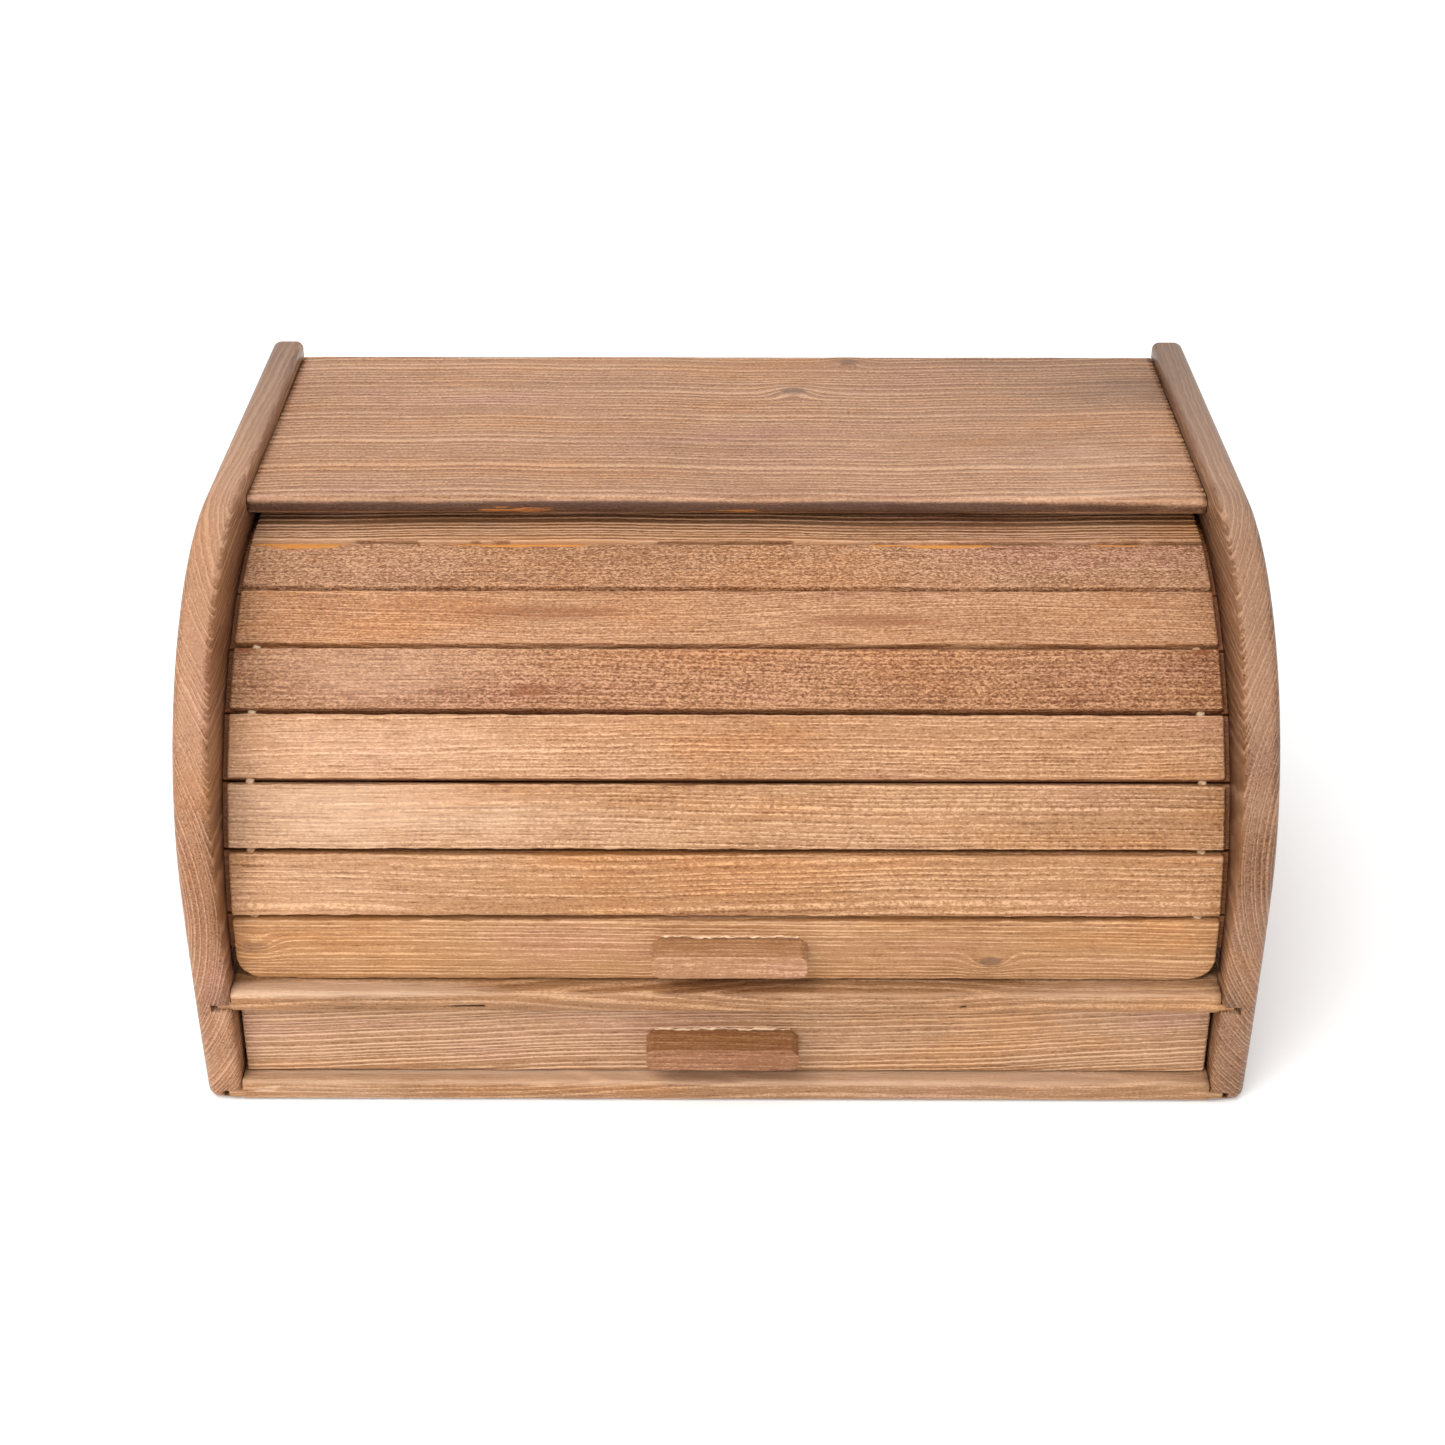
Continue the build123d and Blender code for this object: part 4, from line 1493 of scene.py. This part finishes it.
# ------------------------------------------------------------------------------- case
@dataclass(frozen=True)
class Case:
    """Side panels, the three boards, the thin back and their nails."""

    tongue_lift: float = 1.6 * MM
    tongue_thickness: float = 3.0 * MM
    nail_proud: float = 0.03 * MM
    # painted shade: the right panel's darker tone, as that side faces away from the stronger lamps at the
    # left
    right_side_shaded_tone: Tone = (127, 89, 61)
    body: str = "case"

    def tongued(self, name: str, nose: float, front_in: float, step: float) -> list[Block]:
        """A board's blocks: the board itself and the tongue that goes through it into both sides.

        Args:
            name: its CAD node.
            nose: radius of the front edges.
            front_in: how far back the tongue starts.
            step: square size across the grain.

        Returns:
            The blocks.
        """
        low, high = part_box(name)
        tongue_z = low.z + self.tongue_lift
        return [Block((-HALF_INSIDE, low.y, low.z), (HALF_INSIDE, high.y, high.z),
                      (mm(0.35, 0.35), (nose, 0.3 * MM), (nose, nose)), (2.6 * MM, step, 1.0 * MM)),
                Block((low.x, low.y + front_in, tongue_z),
                      (high.x, high.y - 0.4 * MM, tongue_z + self.tongue_thickness),
                      (mm(0.3, 0.3), mm(0.4, 0.4), mm(0.4, 0.4)), mm(20, 8, 1))]

    def build(self, shaders: WoodShaders) -> None:
        """Makes every piece of the case.

        Args:
            shaders: the shared node groups.
        """
        for board in (self.top_board(), self.shelf(), self.bottom(), self.back()):
            board.build(shaders)
        self.sides(shaders)
        nail = NAIL_METAL.material()
        for node in ("side_nails_left", "side_nails_right", "back_panel_nails"):
            dress_cad(node, nail)

    def top_board(self) -> Board:
        """The thin board on top, with two knots near its back edge and a front edge of dark stain and
        painted shade.

        Returns:
            The board, ready to build.
        """
        low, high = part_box("top_board")
        top, front, middle = high.z, low.y, (low.z + high.z) / 2
        knots = (Knot((28.1 * MM, 97.3 * MM, top), mm(10, 7.5, 40), 2.2, 0.6),
                 Knot((52.9 * MM, 130.9 * MM, top), mm(8, 5.5, 40), 1.8, 0.6))
        grain = Grain((0.0, high.y + 150 * MM, top - 60 * MM), spacing=3.5 * MM, sway=2.5 * MM, slope=0.012,
                      phase=0.6, knots=knots)

        def nose(mask: Mask, x: float, wide: float, lift: float, strength: float) -> PaintedPatch:
            """A mark on the front edge, in millimetres."""
            return PaintedPatch(mask, (x * MM, front, middle + lift * MM), mm(wide, 3.2, 3.0), strength)

        # the front edge's dark mark is dark stain and painted shade, centred a little below the edge's
        # middle
        marks = (nose(Mask.DARK, -20, 240, -0.4, 1.2), nose(Mask.RAW, -84, 26, -2.2, 0.6),
                 nose(Mask.RAW, 10, 34, -2.6, 0.6),
                 PaintedPatch(Mask.DARK, (150 * MM, high.y, top), mm(130, 80, 4), 0.4),
                 PaintedPatch(Mask.PALE, (150 * MM, 20 * MM, top), mm(45, 60, 4), 0.35))
        blocks = self.tongued("top_board", 2.7 * MM, 8.5 * MM, 0.62 * MM)
        return Board("top_board", self.body, "board_wood", TOP_STAIN, grain, blocks, marks)

    def shelf(self) -> Board:
        """The board under the bread.

        Returns:
            The board, ready to build.
        """
        low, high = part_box("shelf_board")
        front, lip = low.y, low.y + 3 * MM
        grain = Grain((0.0, front + 50 * MM, high.z - 90 * MM), spacing=2.6 * MM, sway=3 * MM, slope=0.02,
                      phase=4.1)
        # the two pale marks on the top's front strip are painted light, where the lid shades it
        marks = (PaintedPatch(Mask.DARK, (-60 * MM, front, low.z + 3 * MM), mm(60, 5, 3), 0.4),
                 PaintedPatch(Mask.PALE, (-150 * MM, lip, high.z), mm(70, 6, 3), 1.0),
                 PaintedPatch(Mask.PALE, (140 * MM, lip, high.z), mm(60, 6, 3), 0.5))
        blocks = self.tongued("shelf_board", 2.3 * MM, 0.0, 1.1 * MM)
        return Board("shelf_board", self.body, "board_wood", RAIL_STAIN, grain, blocks, marks, 0.10 * MM)

    def bottom(self) -> Board:
        """The board under the drawer, with pale marks and painted light over the ledge before the drawer.

        Returns:
            The board, ready to build.
        """
        low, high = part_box("bottom_board")
        front, top = low.y, high.z
        grain = Grain((0.0, front + 20 * MM, low.z - 75 * MM), spacing=3.1 * MM, sway=4 * MM, slope=-0.03,
                      phase=2.2)
        # two pale dust specks at the front's left; painted light over the ledge, where the drawer front
        # shades it; a thin pale line at the drawer's foot; a faint pale patch at the front's left
        marks = (PaintedPatch(Mask.PALE, (-178 * MM, front, 5 * MM), mm(3.5, 4, 1.1), 1.5),
                 PaintedPatch(Mask.PALE, (-174 * MM, front, 7 * MM), mm(2.2, 4, 0.9), 1.3),
                 PaintedPatch(Mask.PALE, (0.0, front + 4 * MM, top), mm(240, 6, 2.5), 0.8),
                 PaintedPatch(Mask.PALE, (-60 * MM, front + 6.6 * MM, top), mm(150, 1.2, 0.9), 1.6),
                 PaintedPatch(Mask.PALE, (-150 * MM, front, 5 * MM), mm(40, 4, 8), 0.3))
        blocks = self.tongued("bottom_board", 2.3 * MM, 0.0, 1.3 * MM)
        return Board("bottom_board", self.body, "board_wood", RAIL_STAIN, grain, blocks, marks, 0.10 * MM)

    def back(self) -> Board:
        """The thin back.

        Returns:
            The board, ready to build.
        """
        low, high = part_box("back_panel")
        block = Block(tuple(low), tuple(high), even(0.4), mm(5, 1.5, 5))
        grain = Grain((0.0, 0.40, 0.12), spacing=3.4 * MM, sway=9 * MM, slope=0.08, phase=5.0)
        return Board("back_panel", self.body, "plywood", PLY_STAIN, grain, [block], relief=0.03 * MM)

    def sides(self, shaders: WoodShaders) -> None:
        """The side panels: the CAD shape with its housings, welded so that its rounds shade smoothly.

        Args:
            shaders: the shared node groups.
        """
        # the right panel takes the darker tone, which is painted shade
        for node, sign, pith_up, tone in (("side_panel_left", -1, 0.095, SIDE_STAIN.tone),
                                          ("side_panel_right", 1, 0.110, self.right_side_shaded_tone)):
            grain = Grain((sign * 0.30, 0.0, pith_up), turn=math.pi / 2, spacing=1.5 * MM, sway=1.5 * MM,
                          slope=0.03 * sign, phase=1.0 + sign)
            made = welded_copy(node, f"{node}_wood", math.radians(32))
            self.finish_panel(made)
            finish = replace(SIDE_STAIN, tone=tone)
            dress(made, finish.material(shaders, node, grain), self.body, node)

    def finish_panel(self, made: bpy.types.Object) -> None:
        """Sands a side panel: its nail heads stand just proud, and its rim gets painted light.

        In the rim's mask, which is painted light, points in the flat faces get nothing, and any other point
        gets its normal's part away from X, times 0.15 plus 1.5 times its upward part, so the faces turned
        up are painted lightest.

        Args:
            made: the panel.
        """
        mesh = made.data
        places = np.empty(len(mesh.vertices) * 3)
        mesh.vertices.foreach_get("co", places)
        normals = np.empty(len(mesh.vertices) * 3)
        mesh.vertices.foreach_get("normal", normals)
        x, across, upward = places[0::3].copy(), normals[0::3], normals[2::3]
        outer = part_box("side_panel_right")[1].x
        places[0::3] = np.where(np.abs(x) > outer - 0.01 * MM, np.sign(x) * (outer - self.nail_proud), x)
        mesh.vertices.foreach_set("co", places.astype(np.float32))
        between = (np.abs(x) > HALF_INSIDE + 0.1 * MM) & (np.abs(x) < outer - 0.1 * MM)
        # painted light: the rim lighter all round, and much lighter where it faces up
        rim = np.where(between, (1 - np.abs(across)) * (0.15 + 1.5 * np.clip(upward, 0, 1)), 0.0)
        paint_mask(mesh, Mask.EDGE.value, rim)


def welded_copy(node: str, name: str, sharp: float) -> bpy.types.Object:
    """A copy of a CAD node with its loose triangles joined, smooth but for its sharp edges.

    Args:
        node: the CAD node.
        name: the copy's name.
        sharp: least angle between two faces whose edge stays sharp.

    Returns:
        The copy.
    """
    mesh = frame["nodes"][node].data.copy()
    mesh.name = name
    mesh.materials.clear()
    work = bmesh.new()
    work.from_mesh(mesh)
    bmesh.ops.remove_doubles(work, verts=work.verts, dist=0.002 * MM)
    bmesh.ops.recalc_face_normals(work, faces=work.faces)
    work.to_mesh(mesh)
    work.free()
    mesh.polygons.foreach_set("use_smooth", np.ones(len(mesh.polygons), bool))
    mesh.set_sharp_from_angle(angle=sharp)
    return link_object(name, mesh)


def dress_cad(node: str, material: bpy.types.Material) -> None:
    """Gives a CAD node that stays as it is a better material.

    Args:
        node: the CAD node.
        material: its new material.
    """
    part = frame["nodes"][node]
    part.data.materials.clear()
    part.data.materials.append(material)
    log.info("%s: CAD shape kept", node)


# ------------------------------------------------------------------------------- drawer
@dataclass(frozen=True)
class Drawer:
    """The drawer under the shelf."""

    body: str = "drawer"
    handle_middle: float = -1.2 * MM

    def build(self, shaders: WoodShaders) -> None:
        """Makes every piece of the drawer.

        Args:
            shaders: the shared node groups.
        """
        self.front().build(shaders)
        box_wood = replace(PLY_STAIN, name="drawer_box_wood")
        for number, (node, turn) in enumerate((("drawer_side_left", math.pi / 2),
                                               ("drawer_side_right", math.pi / 2), ("drawer_back", 0.0))):
            grain = Grain((0.1, 0.3, -0.06 + 0.02 * number), turn=turn, sway=2 * MM, phase=1.3 * number)
            self.plain(node, "drawer_wood", box_wood, grain).build(shaders)
        grain = Grain((0.0, 0.05, -0.30), spacing=3.4 * MM, sway=9 * MM, slope=0.08, phase=2.0)
        self.plain("drawer_bottom", "plywood", PLY_STAIN, grain).build(shaders)
        dress_cad("drawer_nails", NAIL_METAL.material())
        dress_cad("drawer_handle_screws", SCREW_METAL.material())
        Handle("drawer_handle", self.body, self.handle_placer(), self.handle_middle,
               SHADED_HANDLE_STAIN).build(shaders)

    def front(self) -> Board:
        """The drawer's front board.

        Returns:
            The board, ready to build.
        """
        low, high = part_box("drawer_front")
        block = Block(tuple(low), tuple(high), (mm(0.9, 0.9), mm(1.0, 0.5), mm(0.9, 0.9)),
                      mm(2.3, 1.5, 0.42))
        grain = Grain((0.0, low.y + 26 * MM, low.z - 40 * MM), spacing=1.75 * MM, sway=1.6 * MM,
                      slope=-0.035, phase=3.3)
        return Board("drawer_front", self.body, "drawer_wood", DRAWER_STAIN, grain, [block],
                     relief=0.14 * MM)

    def plain(self, node: str, slot: str, finish: WoodFinish, grain: Grain) -> Board:
        """A plain board with eased edges.

        Args:
            node: its CAD node.
            slot: not used; the board keeps it as a slot name.
            finish: its stain.
            grain: how it was sawn.

        Returns:
            The board, ready to build.
        """
        low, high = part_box(node)
        block = Block(tuple(low), tuple(high), even(0.5), mm(4, 4, 1.5))
        return Board(node, self.body, slot, finish, grain, [block], relief=0.03 * MM)

    def handle_placer(self) -> Move:
        """Turns the frame of the drawer's face into the box's.

        Returns:
            A function from points in the face's frame (X, up, outwards) to points in the box's.
        """
        low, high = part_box("drawer_handle")
        start = np.array([0.0, high.y, (low.z + high.z) / 2])

        def place(points: np.ndarray) -> np.ndarray:
            """Carries the points over."""
            return start + points[:, [0, 2, 1]] * np.array([1.0, -1.0, 1.0])

        return place


# ------------------------------------------------------------------------------- studio
@dataclass(frozen=True)
class Lamp:
    """A square soft light. Its size is in metres and its power in watts."""

    name: str
    place: Point
    size: float
    power: float
    aim: Point = (0.0, 0.0, 0.1)

    def build(self) -> None:
        """Hangs the light and turns it to its aim."""
        light = bpy.data.lights.new(self.name, "AREA")
        light.energy, light.size = self.power, self.size
        made = link_object(self.name, light)
        made.location = self.place
        made.rotation_euler = (Vector(self.aim) - Vector(self.place)).to_track_quat("-Z", "Y").to_euler()


@dataclass(frozen=True)
class Studio:
    """A pale floor, soft lights and the camera."""

    camera_place: Point = (0.0016, -0.8793, 0.5973)
    camera_down: float = 0.5193
    camera_turn: float = -0.0037
    lens: float = 60.98
    floor_half: float = 3.0
    floor_color: Color = (0.97, 0.97, 0.97)
    sky: float = 0.74
    lamps: tuple[Lamp, ...] = (Lamp("key", (-0.55, -1.2, 1.5), 1.3, 28.0),
                               Lamp("sheen", (-1.3, -1.5, 0.6), 0.9, 11.0),
                               Lamp("fill", (1.4, -1.2, 0.9), 1.2, 3.5),
                               Lamp("top", (0.0, 0.4, 1.9), 1.4, 5.0),
                               Lamp("floor", (0.0, 1.9, 1.5), 1.8, 12.0, (0.0, 1.9, 0.0)))

    def build(self) -> None:
        """Sets the stage."""
        self.floor()
        self.world()
        for lamp in self.lamps:
            lamp.build()
        self.camera()
        bpy.context.scene.view_settings.view_transform = "Standard"

    def floor(self) -> None:
        """A large plain floor."""
        half = self.floor_half
        mesh = bpy.data.meshes.new("floor")
        corners = [(-half, -half, 0), (half, -half, 0), (half, half, 0), (-half, half, 0)]
        mesh.from_pydata(corners, [], [(0, 1, 2, 3)])
        material = bpy.data.materials.new("floor_paint")
        material.use_nodes = True
        surface = material.node_tree.nodes["Principled BSDF"]
        surface.inputs["Base Color"].default_value = (*self.floor_color, 1.0)
        surface.inputs["Roughness"].default_value = 0.9
        mesh.materials.append(material)
        link_object("floor", mesh)

    def world(self) -> None:
        """A plain pale sky."""
        world = bpy.data.worlds.new("studio")
        bpy.context.scene.world = world
        world.use_nodes = True
        background = world.node_tree.nodes["Background"]
        background.inputs["Color"].default_value = (1.0, 1.0, 1.0, 1.0)
        background.inputs["Strength"].default_value = self.sky

    def camera(self) -> None:
        """The camera, looking down at the box's front."""
        data = bpy.data.cameras.new("camera")
        data.lens, data.sensor_width = self.lens, 36.0
        made = link_object("camera", data)
        made.location = self.camera_place
        made.rotation_euler = (math.pi / 2 - self.camera_down, 0.0, -self.camera_turn)
        bpy.context.scene.camera = made


def main() -> None:
    """Builds the box's visible pieces and the studio round them."""
    logging.basicConfig(level=logging.INFO, format="%(name)s %(message)s")
    Studio().build()
    shaders = WoodShaders()
    Case().build(shaders)
    RollTop().build(shaders)
    Drawer().build(shaders)


if __name__ == "__main__":
    main()
